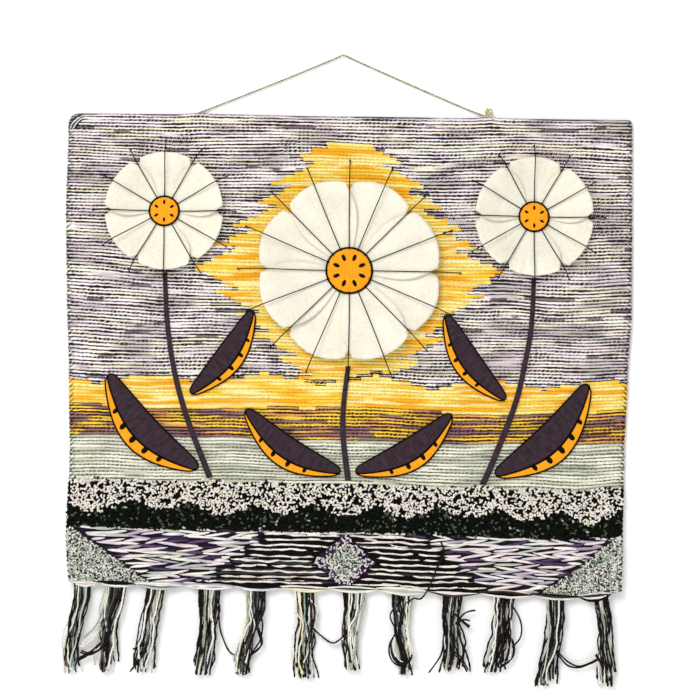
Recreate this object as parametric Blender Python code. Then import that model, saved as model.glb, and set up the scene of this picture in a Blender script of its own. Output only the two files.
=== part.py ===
"""A jute wall hanging.

A weft-faced woven panel carries raised pile, cloth flowers and padded leaves. Yarn is carried in slack loops
along its lower edge, tassels hang from there, and a jute cord holds the top edge.

Metres, +Z up. The front faces -Y and the wall is the plane Y = 0. The origin is the nail point, where the two
halves of the cord meet, so the whole hanging lies below it."""

from math import cos, hypot, pi, radians, sin, sqrt, tau

import bmesh
import bpy
from mathutils import Vector

GAP = 0.0003  # left between pieces that touch

# The panel as cloth. A point on it is (a, d): a across from its middle line, d down from its top edge.
WIDTH = 0.610
HEIGHT = 0.518
WEAVE = 0.0040  # thickness of the woven ground
STITCHED = 0.0065  # thickness where long stitches and couched yarn cover it
PILED = 0.0085  # thickness through the loops of pile
PILE_TOP, PILE_FOOT = 0.398, 0.453  # the band of pile, down from the top edge
PILE_STEP = 0.004  # the slope at an edge of the pile
CORNER_PILE = (0.100, 0.070)  # how far the pile in a lower corner reaches along the foot and up the side

SIDES = (  # the panel's sides as it hangs
    # down, left x, right x
    (0.00, -0.2990, 0.3140),
    (0.24, -0.3020, 0.3140),
    (0.40, -0.3010, 0.3135),
    (0.55, -0.2990, 0.3090),
    (0.70, -0.2980, 0.3055),
    (0.90, -0.3015, 0.3030),
    (1.00, -0.2985, 0.3015),
)
ENDS = (  # its top and bottom edges
    # across, top z, bottom z
    (0.00, -0.0635, -0.5770),
    (0.25, -0.0645, -0.5810),
    (0.50, -0.0670, -0.5840),
    (0.75, -0.0690, -0.5890),
    (0.92, -0.0702, -0.5930),
    (1.00, -0.0710, -0.5880),
)
CORNERS = (
    # side, end, radius    (side -1 is left, end 0 is the top)
    (-1, 0, 0.012),
    (1, 0, 0.005),
    (-1, 1, 0.010),
    (1, 1, 0.009),
)
# How far the back stands off the wall: at the sides, at the foot, and more where they meet
SIDE_LIFT, FOOT_LIFT, CORNER_LIFT = 0.0022, 0.0030, 0.0028
SIDE_FROM, FOOT_FROM = 0.265, 0.430  # where those lifts begin
COLUMNS, ROWS = 22, 16  # cells of the panel's mesh, with finer ones at the edges and the pile

FLOWERS = (
    # name, a, d, radius, petals, rise of the free tips
    ("middle", 0.000, 0.168, 0.100, 8, 0.0085),
    ("left", -0.199, 0.106, 0.064, 6, 0.0065),
    ("right", 0.199, 0.106, 0.064, 6, 0.0065),
)
CLOTH = 0.0010  # thickness of the petals' cloth
PETAL_ROOT = 0.16  # where a petal starts, as a share of the flower's radius
PETAL_ROOT_HALF = 0.10  # half its width there, likewise
LAYER_GAP = 0.0005  # between the lower and the upper petals where they are sewn
CENTRE = 0.24  # the padded centre's radius, as a share of the flower's
CENTRE_THICK = 0.0034

STEMS = (
    # name, a and d at the top, a and d at the foot, bow
    ("middle", 0.000, 0.272, 0.002, 0.3965, 0.006),
    ("left", -0.199, 0.173, -0.150, 0.3965, 0.014),
    ("right", 0.199, 0.173, 0.150, 0.3965, -0.014),
)
STEM_WIDTH, STEM_THICK = 0.0068, 0.0024

LEAVES = (
    # name, a and d at the base, a and d at the tip, bow, width
    ("middle_left", -0.007, 0.388, -0.112, 0.322, 0.014, 0.034),
    ("middle_right", 0.010, 0.388, 0.114, 0.322, -0.014, 0.034),
    ("left_outer", -0.164, 0.387, -0.262, 0.286, 0.018, 0.042),
    ("left_inner", -0.1715, 0.305, -0.104, 0.214, -0.010, 0.030),
    ("right_outer", 0.164, 0.387, 0.262, 0.286, -0.018, 0.042),
    ("right_inner", 0.1715, 0.305, 0.104, 0.214, 0.010, 0.030),
)
EDGE_SHARE = 0.30  # of a leaf's width, taken by the pad along its bowed side
BLADE_THICK, EDGE_THICK = 0.0028, 0.0022

TASSELS = (
    # x and half width at the top, x and half width at the foot, foot z
    (-0.2846, 0.0092, -0.2966, 0.0114, -0.6722),
    (-0.2492, 0.0120, -0.2606, 0.0104, -0.6711),
    (-0.2034, 0.0109, -0.2181, 0.0136, -0.6722),
    (-0.1445, 0.0130, -0.1522, 0.0120, -0.6743),
    (-0.0939, 0.0114, -0.1097, 0.0100, -0.6743),
    (-0.0421, 0.0120, -0.0432, 0.0142, -0.6777),
    (0.0102, 0.0130, 0.0086, 0.0095, -0.6700),
    (0.0631, 0.0125, 0.0669, 0.0090, -0.6743),
    (0.1182, 0.0109, 0.1182, 0.0153, -0.6711),
    (0.1754, 0.0125, 0.1667, 0.0160, -0.6722),
    (0.2321, 0.0104, 0.2206, 0.0120, -0.6864),
    (0.2800, 0.0078, 0.2882, 0.0095, -0.6864),
)
TASSEL_HALF_DEPTH = 0.0060
WRAP_START, WRAP_END = -0.2935, 0.2895  # x where the yarn along the lower edge begins and ends
WRAP_DROP, WRAP_NECK = 0.0052, 0.0014  # how far it hangs below the edge in a loop, and between two

CORD = 0.0022  # the twine's diameter
CORD_Y = -0.0025
CORD_STEP = 0.0058  # between two points of its tube
ROUTE = (
    # x, z of the twine, from the top edge on the left, over the nail, to the knot
    (-0.1578, -0.0630),
    (-0.1450, -0.0582),
    (-0.1300, -0.0524),
    (-0.1150, -0.0466),
    (-0.1000, -0.0407),
    (-0.0850, -0.0348),
    (-0.0700, -0.0289),
    (-0.0550, -0.0228),
    (-0.0400, -0.0166),
    (-0.0250, -0.0104),
    (-0.0120, -0.0050),
    (-0.0055, -0.0021),
    (-0.0024, -0.0006),
    (0.0000, 0.0000),
    (0.0024, -0.0007),
    (0.0055, -0.0023),
    (0.0120, -0.0053),
    (0.0250, -0.0112),
    (0.0400, -0.0179),
    (0.0550, -0.0246),
    (0.0700, -0.0312),
    (0.0850, -0.0378),
    (0.1000, -0.0443),
    (0.1150, -0.0508),
    (0.1300, -0.0572),
    (0.1420, -0.0621),
    (0.1520, -0.0659),
)
KNOT_PLACE = (0.1578, -0.0037, -0.0628)
KNOT_HALF = (0.0050, 0.0035, 0.0056)

COLOURS = {
    # name: red, green, blue, roughness
    "woven": (0.52, 0.50, 0.50, 0.95),
    "carried_yarn": (0.62, 0.60, 0.54, 0.90),
    "tassel_yarn": (0.20, 0.18, 0.17, 0.90),
    "twine": (0.62, 0.53, 0.33, 0.90),
    "canvas": (0.90, 0.86, 0.74, 0.90),
    "gold_felt": (0.93, 0.55, 0.08, 0.85),
    "dark_felt": (0.09, 0.06, 0.07, 0.85),
}


def ease(share):
    """0 to 1, flat at both ends."""
    share = min(1.0, max(0.0, share))
    return share * share * (3 - 2 * share)


def along(table, column, at):
    """A column of the table at a share of the way, eased from row to row."""
    for low, high in zip(table, table[1:]):
        if at <= high[0]:
            share = ease((at - low[0]) / (high[0] - low[0]))
            return low[column] + (high[column] - low[column]) * share
    return table[-1][column]


def round_corner(a, d):
    """Moves a point of the cloth's rectangle onto its rounded outline."""
    for side, end, radius in CORNERS:
        u = 1 - (WIDTH / 2 - side * a) / radius
        v = 1 - (HEIGHT - d if end else d) / radius
        if u > 0 and v > 0:
            u, v = u * sqrt(1 - v * v / 2), v * sqrt(1 - u * u / 2)
            inward = radius * (1 - v)
            a = side * (WIDTH / 2 - radius * (1 - u))
            d = HEIGHT - inward if end else inward
    return a, d


def stand_off(a, d):
    """How far the cloth's back is from the wall."""
    side = ease((abs(a) - SIDE_FROM) / (WIDTH / 2 - SIDE_FROM))
    foot = ease((d - FOOT_FROM) / (HEIGHT - FOOT_FROM))
    return SIDE_LIFT * side + FOOT_LIFT * foot + CORNER_LIFT * side * foot


def on_cloth(a, d, out):
    """A point of the hanging cloth, out in front of its back."""
    a, d = round_corner(a, d)
    across, down = a / WIDTH + 0.5, d / HEIGHT
    left, right = along(SIDES, 1, down), along(SIDES, 2, down)
    top, bottom = along(ENDS, 1, across), along(ENDS, 2, across)
    x = left + (right - left) * across
    z = top + (bottom - top) * down
    return Vector((x, -stand_off(a, d) - out, z))


def across_at(x, down):
    """The cloth's a at a place x, at a share of the way down."""
    left, right = along(SIDES, 1, down), along(SIDES, 2, down)
    return WIDTH * ((x - left) / (right - left) - 0.5)


def thickness(a, d):
    """The panel's thickness with its pile and stitches."""
    in_pile = ease((d - PILE_TOP) / PILE_STEP)
    below = ease((d - PILE_FOOT) / PILE_STEP)
    corner = 1 - (WIDTH / 2 - abs(a)) / CORNER_PILE[0] - (HEIGHT - d) / CORNER_PILE[1]
    corner = ease(corner * CORNER_PILE[1] / PILE_STEP)
    full = WEAVE + (PILED - WEAVE) * in_pile
    return full - (PILED - STITCHED) * below * (1 - corner)


def add_object(name, data, colour):
    """Adds a shape to the scene in its own material, under the nail point."""
    material = bpy.data.materials.new(name)
    material.use_nodes = True
    shader = material.node_tree.nodes["Principled BSDF"]
    red, green, blue, rough = COLOURS[colour]
    shader.inputs["Base Color"].default_value = (red, green, blue, 1)
    shader.inputs["Roughness"].default_value = rough
    shader.inputs["Metallic"].default_value = 0
    data.materials.append(material)
    added = bpy.data.objects.new(name, data)
    bpy.context.collection.objects.link(added)
    added.parent = bpy.data.objects["nail_point"]
    return added


def add_mesh(name, bm, colour):
    """Closes off a modelled mesh as a smooth-shaded object."""
    bmesh.ops.recalc_face_normals(bm, faces=bm.faces)
    mesh = bpy.data.meshes.new(name)
    bm.to_mesh(mesh)
    bm.free()
    mesh.shade_smooth()
    mesh.set_sharp_from_angle(angle=radians(40))
    return add_object(name, mesh, colour)


def add_sheet(name, first, second, front, back, colour):
    """A closed sheet over a grid of the values in first and second, between the two surfaces they give."""
    bm = bmesh.new()
    columns, rows = len(first) - 1, len(second) - 1
    bmesh.ops.create_grid(bm, x_segments=columns, y_segments=rows, size=0.5)
    fronts = list(bm.verts)
    extruded = bmesh.ops.extrude_face_region(bm, geom=bm.faces[:])["geom"]
    backs = [part for part in extruded if isinstance(part, bmesh.types.BMVert)]
    for verts, surface in ((fronts, front), (backs, back)):
        for vert in verts:
            i = round((vert.co.x + 0.5) * columns)
            j = round((vert.co.y + 0.5) * rows)
            vert.co = surface(first[i], second[j])
    return add_mesh(name, bm, colour)


def add_loft(name, rings, colour):
    """A closed body through rings of points, capped at both ends."""
    bm = bmesh.new()
    loops = []
    for ring in rings:
        verts = [bm.verts.new(point) for point in ring]
        loops.append([bm.edges.new(pair) for pair in zip(verts, verts[1:] + verts[:1])])
    for upper, lower in zip(loops, loops[1:]):
        bmesh.ops.bridge_loops(bm, edges=upper + lower)
    for loop in (loops[0], loops[-1]):
        bmesh.ops.contextual_create(bm, geom=loop)
    return add_mesh(name, bm, colour)


def steps(low, high, count):
    """Count equal steps from low to high, both ends included."""
    return [low + (high - low) * i / count for i in range(count + 1)]


def add_panel():
    """The woven panel, with finer cells at its rounded corners and at the edges of its pile."""
    edge = WIDTH / 2
    across = [-edge, 0.006 - edge, *steps(0.014 - edge, edge - 0.014, COLUMNS), edge - 0.006, edge]
    down = [0.0, 0.006, *steps(0.014, PILE_TOP - 0.012, ROWS), PILE_TOP, PILE_TOP + PILE_STEP]
    down += [(PILE_TOP + PILE_FOOT) / 2, PILE_FOOT, PILE_FOOT + PILE_STEP]
    down += [*steps(0.470, HEIGHT - 0.014, 2), HEIGHT - 0.006, HEIGHT]
    add_sheet(
        "panel",
        across,
        down,
        lambda a, d: on_cloth(a, d, thickness(a, d)),
        lambda a, d: on_cloth(a, d, 0.0),
        "woven",
    )


def wrap_bays():
    """The stretches of x over which the carried yarn hangs in one loop, a tassel under each."""
    tops = [row[0] for row in TASSELS]
    middles = [(left + right) / 2 for left, right in zip(tops, tops[1:])]
    bounds = [WRAP_START, *middles, WRAP_END]
    return list(zip(bounds, bounds[1:]))


def wrap_drop(x):
    """How far the carried yarn hangs below the edge at x."""
    for left, right in wrap_bays():
        if left <= x <= right:
            return WRAP_NECK + (WRAP_DROP - WRAP_NECK) * sqrt(max(0.0, sin(pi * (x - left) / (right - left))))
    return WRAP_NECK


def edge_point(x, below, out):
    """A point below the panel's lower edge at x."""
    a = across_at(x, 1.0)
    return on_cloth(a, HEIGHT, out) + Vector((0, 0, -below))


def add_edge_wraps():
    """The yarn carried along the lower edge, a rounded strip that hangs in a loop over each tassel."""
    xs = [WRAP_START]
    for left, right in wrap_bays():
        xs += steps(left, right, 4)[1:]
    profile = {
        # share of the drop: back and front, out from the cloth's back
        0.0: (0.0006, 0.0062),
        0.5: (0.0002, 0.0078),
        1.0: (0.0020, 0.0058),
    }

    def surface(side):
        return lambda x, share: edge_point(x, GAP + share * wrap_drop(x), profile[share][side])

    add_sheet("edge_wraps", xs, sorted(profile), surface(1), surface(0), "carried_yarn")


def add_tassels():
    """Each tassel is a bunch that narrows a little below its top and spreads at its tips."""
    for number, (top_x, top_half, foot_x, foot_half, foot_z) in enumerate(TASSELS, 1):
        under = [edge_point(x, wrap_drop(x), 0.0) for x in steps(top_x - top_half, top_x + top_half, 4)]
        start = min(under, key=lambda point: point.z) - Vector((0, 0, 2 * GAP))
        rings = []
        for share in (0.0, 0.08, 0.3, 0.55, 0.8, 1.0):
            x = top_x + (foot_x - top_x) * ease(share) + 0.0015 * sin(tau * share + number)
            z = start.z + (foot_z - start.z) * share
            waist = 1 - 0.16 * sin(pi * share)
            half = (top_half + (foot_half - top_half) * ease(share)) * waist
            depth = TASSEL_HALF_DEPTH * (0.72 + 0.28 * sin(pi * min(1.0, share + 0.2)))
            y = start.y * (1 - share) - TASSEL_HALF_DEPTH - 0.0008
            ring = [(x + half * cos(tau * k / 10), y + depth * sin(tau * k / 10), z) for k in range(10)]
            rings.append(ring)
        add_loft(f"tassel_{number:02d}", rings, "tassel_yarn")


def smooth_route():
    """The route read at even steps from a smooth curve through its own points."""
    ends = [ROUTE[0], *ROUTE, ROUTE[-1]]
    read = []
    for before, here, there, after in zip(ends, ends[1:], ends[2:], ends[3:]):
        count = max(1, round(hypot(there[0] - here[0], there[1] - here[1]) / CORD_STEP))
        for i in range(count):
            t = i / count
            read.append(
                [
                    q + 0.5 * t * (r - p + t * (2 * p - 5 * q + 4 * r - s + t * (3 * (q - r) + s - p)))
                    for p, q, r, s in zip(before, here, there, after)
                ]
            )
    return [*read, ROUTE[-1]]


def add_cord():
    """The hanging cord's tube and its knot."""
    curve = bpy.data.curves.new("hanging_cord", "CURVE")
    curve.dimensions = "3D"
    curve.bevel_depth = CORD / 2
    curve.bevel_resolution = 2
    curve.use_fill_caps = True
    points = smooth_route()
    spline = curve.splines.new("POLY")
    spline.points.add(len(points) - 1)
    for point, (x, z) in zip(spline.points, points):
        point.co = (x, CORD_Y, z, 1)
    add_object("hanging_cord", curve, "twine")

    bm = bmesh.new()
    bmesh.ops.create_uvsphere(bm, u_segments=12, v_segments=8, radius=1)
    bmesh.ops.scale(bm, vec=KNOT_HALF, verts=bm.verts)
    bmesh.ops.translate(bm, vec=KNOT_PLACE, verts=bm.verts)
    add_mesh("cord_knot", bm, "twine")


def petal_out(radius, rise, rho, upper, edge):
    """How far a petal's back is in front of the panel's. rho is the distance from the flower's middle."""
    free = rise * ease((rho / radius - 0.45) / 0.55)
    if not upper:
        return WEAVE + GAP + free
    spread = 0.0010 * ease((rho / radius - 0.30) / 0.20)
    return WEAVE + GAP + CLOTH + LAYER_GAP + spread + 1.2 * free + 0.0016 * edge


def add_flower(name, a, d, radius, petals, rise):
    """A flower of cloth petals in two layers, each sewn at its root, under a padded centre."""
    root = PETAL_ROOT * radius
    widest = 0.92 * sin(pi / petals)
    for index in range(petals):
        upper = index % 2
        turn = tau * (index + 0.5) / petals

        def surface(extra, upper=upper, turn=turn):
            def point(side, share):
                r = root + share * (radius * (1 - 0.10 * side * side) - root)
                swell = sin(pi / 2 * min(1.0, share / 0.75)) * (1 - 0.12 * share**3)
                half = radius * (PETAL_ROOT_HALF + (widest - PETAL_ROOT_HALF) * swell)
                w = side * half
                rho = hypot(r, w)
                out = petal_out(radius, rise, rho, upper, side * side * share)
                at_a = a + r * cos(turn) - w * sin(turn)
                at_d = d + r * sin(turn) + w * cos(turn)
                return on_cloth(at_a, at_d, out + extra)

            return point

        add_sheet(
            f"flower_{name}_petal_{index + 1}",
            steps(-1, 1, 4),
            steps(0, 1, 6 if petals > 6 else 5),
            surface(CLOTH),
            surface(0.0),
            "canvas",
        )

    back = petal_out(radius, rise, 0.0, True, 0.0) + CLOTH + 2 * GAP
    rings = []
    for share, out in ((1.0, 0.0), (1.0, 0.5), (0.86, 0.85), (0.5, 1.0)):
        r = CENTRE * radius * share
        place = back + CENTRE_THICK * out
        rings.append([on_cloth(a + r * cos(tau * k / 20), d + r * sin(tau * k / 20), place) for k in range(20)])
    add_loft(f"flower_{name}_centre", rings, "gold_felt")


def add_strip(name, base, tip, bow, bounds, thick, cells, colour):
    """A pad along a bowed line from base to tip. bounds gives its two edges, off that line, at a share."""
    (base_a, base_d), (tip_a, tip_d) = base, tip
    length = hypot(tip_a - base_a, tip_d - base_d)
    over_a, over_d = (tip_d - base_d) / length, (base_a - tip_a) / length

    def surface(front):
        def point(share, side):
            low, high = bounds(share)
            off = bow * sin(pi * share) + low + (high - low) * side
            crown = 0.72 + 0.28 * sin(pi * side) if 0 < side < 1 else 0.72
            out = WEAVE + GAP + (thick * crown if front else 0.0)
            at_a = base_a + (tip_a - base_a) * share + over_a * off
            at_d = base_d + (tip_d - base_d) * share + over_d * off
            return on_cloth(at_a, at_d, out)

        return point

    add_sheet(name, steps(0, 1, cells[0]), steps(0, 1, cells[1]), surface(True), surface(False), colour)


def add_stem(name, top_a, top_d, foot_a, foot_d, bow):
    """A slim pad from under a flower down to the pile."""
    half = STEM_WIDTH / 2
    add_strip(
        f"stem_{name}",
        (foot_a, foot_d),
        (top_a, top_d),
        bow,
        lambda share: (-half * (1 - 0.25 * share), half * (1 - 0.25 * share)),
        STEM_THICK,
        (7, 2),
        "dark_felt",
    )


def add_leaf(name, base_a, base_d, tip_a, tip_d, bow, width):
    """A leaf of two pads side by side: its blade, and an edge along its bowed side."""

    def half(share):
        return 0.5 * width * sin(pi * (0.05 + 0.90 * share)) ** 0.8

    def blade(share):
        edges = (-half(share), half(share) * (1 - 2 * EDGE_SHARE))
        return edges if bow > 0 else (-edges[1], -edges[0])

    def edge(share):
        edges = (half(share) * (1 - 2 * EDGE_SHARE) + 1.5 * GAP, half(share))
        return edges if bow > 0 else (-edges[1], -edges[0])

    base, tip = (base_a, base_d), (tip_a, tip_d)
    add_strip(f"leaf_{name}_blade", base, tip, bow, blade, BLADE_THICK, (9, 3), "dark_felt")
    add_strip(f"leaf_{name}_edge", base, tip, bow, edge, EDGE_THICK, (9, 1), "gold_felt")


def main():
    for old in list(bpy.data.objects):
        bpy.data.objects.remove(old)
    bpy.context.collection.objects.link(bpy.data.objects.new("nail_point", None))
    add_panel()
    add_edge_wraps()
    add_tassels()
    add_cord()
    for flower in FLOWERS:
        add_flower(*flower)
    for stem in STEMS:
        add_stem(*stem)
    for leaf in LEAVES:
        add_leaf(*leaf)


main()
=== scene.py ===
"""The finish of a jute wall hanging: its weave, pile, stitches, cloth flowers, tassels and cord.

Metres, +Z up, the front facing -Y. The cloth's own coordinates are (a, d): a across from its middle line,
d down from its top edge. Flat work is laid out in them and then hung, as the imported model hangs."""

from functools import cache
from math import ceil, cos, dist, exp, hypot, pi, radians, sin, sqrt, tau
from random import Random

import bpy
import numpy as np
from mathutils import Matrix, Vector, noise


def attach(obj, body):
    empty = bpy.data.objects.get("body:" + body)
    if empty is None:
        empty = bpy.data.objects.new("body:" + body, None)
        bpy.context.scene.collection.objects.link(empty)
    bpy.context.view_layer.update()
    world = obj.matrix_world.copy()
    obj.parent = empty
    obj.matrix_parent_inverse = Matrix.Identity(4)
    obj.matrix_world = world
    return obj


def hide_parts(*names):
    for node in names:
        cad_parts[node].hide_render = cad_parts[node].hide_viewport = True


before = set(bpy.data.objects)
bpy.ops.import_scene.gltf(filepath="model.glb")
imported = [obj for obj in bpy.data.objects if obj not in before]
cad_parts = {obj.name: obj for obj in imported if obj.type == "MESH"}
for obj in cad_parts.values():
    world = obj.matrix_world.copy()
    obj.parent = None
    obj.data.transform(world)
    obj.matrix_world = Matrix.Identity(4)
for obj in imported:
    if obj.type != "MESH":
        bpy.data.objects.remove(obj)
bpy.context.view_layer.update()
bpy.ops.object.select_all(action="DESELECT")

# ---------------------------------------------------------------- the cloth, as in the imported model

GAP = 0.0003
WIDTH = 0.610
HEIGHT = 0.518
WEAVE = 0.0040  # thickness of the woven ground
STITCHED = 0.0065
PILED = 0.0085
PILE_TOP, PILE_FOOT = 0.398, 0.453
PILE_STEP = 0.004
CORNER_PILE = (0.100, 0.070)

SIDES = (
    # down, left x, right x
    (0.00, -0.2990, 0.3140),
    (0.24, -0.3020, 0.3140),
    (0.40, -0.3010, 0.3135),
    (0.55, -0.2990, 0.3090),
    (0.70, -0.2980, 0.3055),
    (0.90, -0.3015, 0.3030),
    (1.00, -0.2985, 0.3015),
)
ENDS = (
    # across, top z, bottom z
    (0.00, -0.0635, -0.5770),
    (0.25, -0.0645, -0.5810),
    (0.50, -0.0670, -0.5840),
    (0.75, -0.0690, -0.5890),
    (0.92, -0.0702, -0.5930),
    (1.00, -0.0710, -0.5880),
)
CORNERS = (
    # side, end, radius
    (-1, 0, 0.012),
    (1, 0, 0.005),
    (-1, 1, 0.010),
    (1, 1, 0.009),
)
SIDE_LIFT, FOOT_LIFT, CORNER_LIFT = 0.0022, 0.0030, 0.0028
SIDE_FROM, FOOT_FROM = 0.265, 0.430

FLOWERS = (
    # name, a, d, radius, petals, rise of the free tips
    ("middle", 0.000, 0.168, 0.100, 8, 0.0085),
    ("left", -0.199, 0.106, 0.064, 6, 0.0065),
    ("right", 0.199, 0.106, 0.064, 6, 0.0065),
)
CLOTH = 0.0010
PETAL_ROOT = 0.16
PETAL_ROOT_HALF = 0.10
LAYER_GAP = 0.0005
CENTRE = 0.24
CENTRE_THICK = 0.0034

STEMS = (
    # name, a and d at the top, a and d at the foot, bow
    ("middle", 0.000, 0.272, 0.002, 0.3965, 0.006),
    ("left", -0.199, 0.173, -0.150, 0.3965, 0.014),
    ("right", 0.199, 0.173, 0.150, 0.3965, -0.014),
)
STEM_WIDTH, STEM_THICK = 0.0068, 0.0024

LEAVES = (
    # name, a and d at the base, a and d at the tip, bow, width
    ("middle_left", -0.007, 0.388, -0.112, 0.322, 0.014, 0.034),
    ("middle_right", 0.010, 0.388, 0.114, 0.322, -0.014, 0.034),
    ("left_outer", -0.164, 0.387, -0.262, 0.286, 0.018, 0.042),
    ("left_inner", -0.1715, 0.305, -0.104, 0.214, -0.010, 0.030),
    ("right_outer", 0.164, 0.387, 0.262, 0.286, -0.018, 0.042),
    ("right_inner", 0.1715, 0.305, 0.104, 0.214, 0.010, 0.030),
)
EDGE_SHARE = 0.30
BLADE_THICK, EDGE_THICK = 0.0028, 0.0022

TASSELS = (
    # x and half width at the top, x and half width at the foot, foot z
    (-0.2846, 0.0092, -0.2966, 0.0114, -0.6722),
    (-0.2492, 0.0120, -0.2606, 0.0104, -0.6711),
    (-0.2034, 0.0109, -0.2181, 0.0136, -0.6722),
    (-0.1445, 0.0130, -0.1522, 0.0120, -0.6743),
    (-0.0939, 0.0114, -0.1097, 0.0100, -0.6743),
    (-0.0421, 0.0120, -0.0432, 0.0142, -0.6777),
    (0.0102, 0.0130, 0.0086, 0.0095, -0.6700),
    (0.0631, 0.0125, 0.0669, 0.0090, -0.6743),
    (0.1182, 0.0109, 0.1182, 0.0153, -0.6711),
    (0.1754, 0.0125, 0.1667, 0.0160, -0.6722),
    (0.2321, 0.0104, 0.2206, 0.0120, -0.6864),
    (0.2800, 0.0078, 0.2882, 0.0095, -0.6864),
)
TASSEL_HALF_DEPTH = 0.0060
WRAP_START, WRAP_END = -0.2935, 0.2895

CORD = 0.0022
CORD_Y = -0.0025
ROUTE = (
    # x, z of the twine, from the top edge on the left, over the nail, to the knot
    (-0.1578, -0.0630),
    (-0.1450, -0.0582),
    (-0.1300, -0.0524),
    (-0.1150, -0.0466),
    (-0.1000, -0.0407),
    (-0.0850, -0.0348),
    (-0.0700, -0.0289),
    (-0.0550, -0.0228),
    (-0.0400, -0.0166),
    (-0.0250, -0.0104),
    (-0.0120, -0.0050),
    (-0.0055, -0.0021),
    (-0.0024, -0.0006),
    (0.0000, 0.0000),
    (0.0024, -0.0007),
    (0.0055, -0.0023),
    (0.0120, -0.0053),
    (0.0250, -0.0112),
    (0.0400, -0.0179),
    (0.0550, -0.0246),
    (0.0700, -0.0312),
    (0.0850, -0.0378),
    (0.1000, -0.0443),
    (0.1150, -0.0508),
    (0.1300, -0.0572),
    (0.1420, -0.0621),
    (0.1520, -0.0659),
)


def ease(share):
    """0 to 1, flat at both ends."""
    share = min(1.0, max(0.0, share))
    return share * share * (3 - 2 * share)


def along(table, column, at):
    """A column of the table at a share of the way, eased from row to row."""
    for low, high in zip(table, table[1:]):
        if at <= high[0]:
            share = ease((at - low[0]) / (high[0] - low[0]))
            return low[column] + (high[column] - low[column]) * share
    return table[-1][column]


def round_corner(a, d):
    """Moves a point of the cloth's rectangle onto its rounded outline."""
    for side, end, radius in CORNERS:
        u = 1 - (WIDTH / 2 - side * a) / radius
        v = 1 - (HEIGHT - d if end else d) / radius
        if u > 0 and v > 0:
            u, v = u * sqrt(max(0.0, 1 - v * v / 2)), v * sqrt(max(0.0, 1 - u * u / 2))
            inward = radius * (1 - v)
            a = side * (WIDTH / 2 - radius * (1 - u))
            d = HEIGHT - inward if end else inward
    return a, d


def stand_off(a, d):
    """How far the cloth's back is from the wall."""
    side = ease((abs(a) - SIDE_FROM) / (WIDTH / 2 - SIDE_FROM))
    foot = ease((d - FOOT_FROM) / (HEIGHT - FOOT_FROM))
    return SIDE_LIFT * side + FOOT_LIFT * foot + CORNER_LIFT * side * foot


def on_cloth(a, d, out):
    """A point of the hanging cloth, out in front of its back."""
    a, d = round_corner(a, d)
    across, down = a / WIDTH + 0.5, d / HEIGHT
    left, right = along(SIDES, 1, down), along(SIDES, 2, down)
    top, bottom = along(ENDS, 1, across), along(ENDS, 2, across)
    x = left + (right - left) * across
    z = top + (bottom - top) * down
    return Vector((x, -stand_off(a, d) - out, z))


def across_at(x, down):
    """The cloth's a at a place x, at a share of the way down."""
    left, right = along(SIDES, 1, down), along(SIDES, 2, down)
    return WIDTH * ((x - left) / (right - left) - 0.5)


def in_corner(a, d):
    """Above 0 within the pile of a lower corner, 0 at its edge."""
    return 1 - (WIDTH / 2 - abs(a)) / CORNER_PILE[0] - (HEIGHT - d) / CORNER_PILE[1]


def thickness(a, d):
    """The panel's thickness with its pile and stitches."""
    in_pile = ease((d - PILE_TOP) / PILE_STEP)
    below = ease((d - PILE_FOOT) / PILE_STEP)
    corner = ease(in_corner(a, d) * CORNER_PILE[1] / PILE_STEP)
    return WEAVE + (PILED - WEAVE) * in_pile - (PILED - STITCHED) * below * (1 - corner)


def drift(x, y, z):
    """Smooth noise from -1 to 1 at a place."""
    return noise.noise(Vector((x, y, z)))


def steps(low, high, count):
    """Count equal steps from low to high, both ends included."""
    return [low + (high - low) * i / count for i in range(count + 1)]


# ---------------------------------------------------------------- camera, light and wall

CAMERA = (0.007, -2.6, -0.321)
CAMERA_LENS, CAMERA_FILM = 122.7, 36
DAYLIGHT = 0.585
LAMP, LAMP_AIM = Vector((-0.75, -2.4, 0.95)), Vector((0, 0, -0.33))
LAMP_WIDTH, LAMP_WATTS = 1.4, 42.8


def add_camera():
    """Square on to the wall, level with the middle of the hanging."""
    bpy.ops.object.camera_add(location=CAMERA, rotation=(pi / 2, 0, 0))
    camera = bpy.context.object
    camera.data.sensor_width = CAMERA_FILM
    camera.data.lens = CAMERA_LENS
    bpy.context.scene.camera = camera


def add_lights():
    """A soft daylight all round, and a large lamp high on the left that shades to the lower right."""
    world = bpy.data.worlds.new("daylight")
    world.use_nodes = True
    sky = world.node_tree.nodes["Background"].inputs
    sky["Color"].default_value = (1, 1, 1, 1)
    sky["Strength"].default_value = DAYLIGHT
    bpy.context.scene.world = world
    bpy.context.scene.view_settings.view_transform = "Standard"
    turn = (LAMP_AIM - LAMP).to_track_quat("-Z", "Y").to_euler()
    bpy.ops.object.light_add(type="AREA", location=LAMP, rotation=turn)
    lamp = bpy.context.object
    lamp.name = "window_lamp"
    lamp.data.shape = "DISK"
    lamp.data.size = LAMP_WIDTH
    lamp.data.energy = LAMP_WATTS


# ---------------------------------------------------------------- materials


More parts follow.
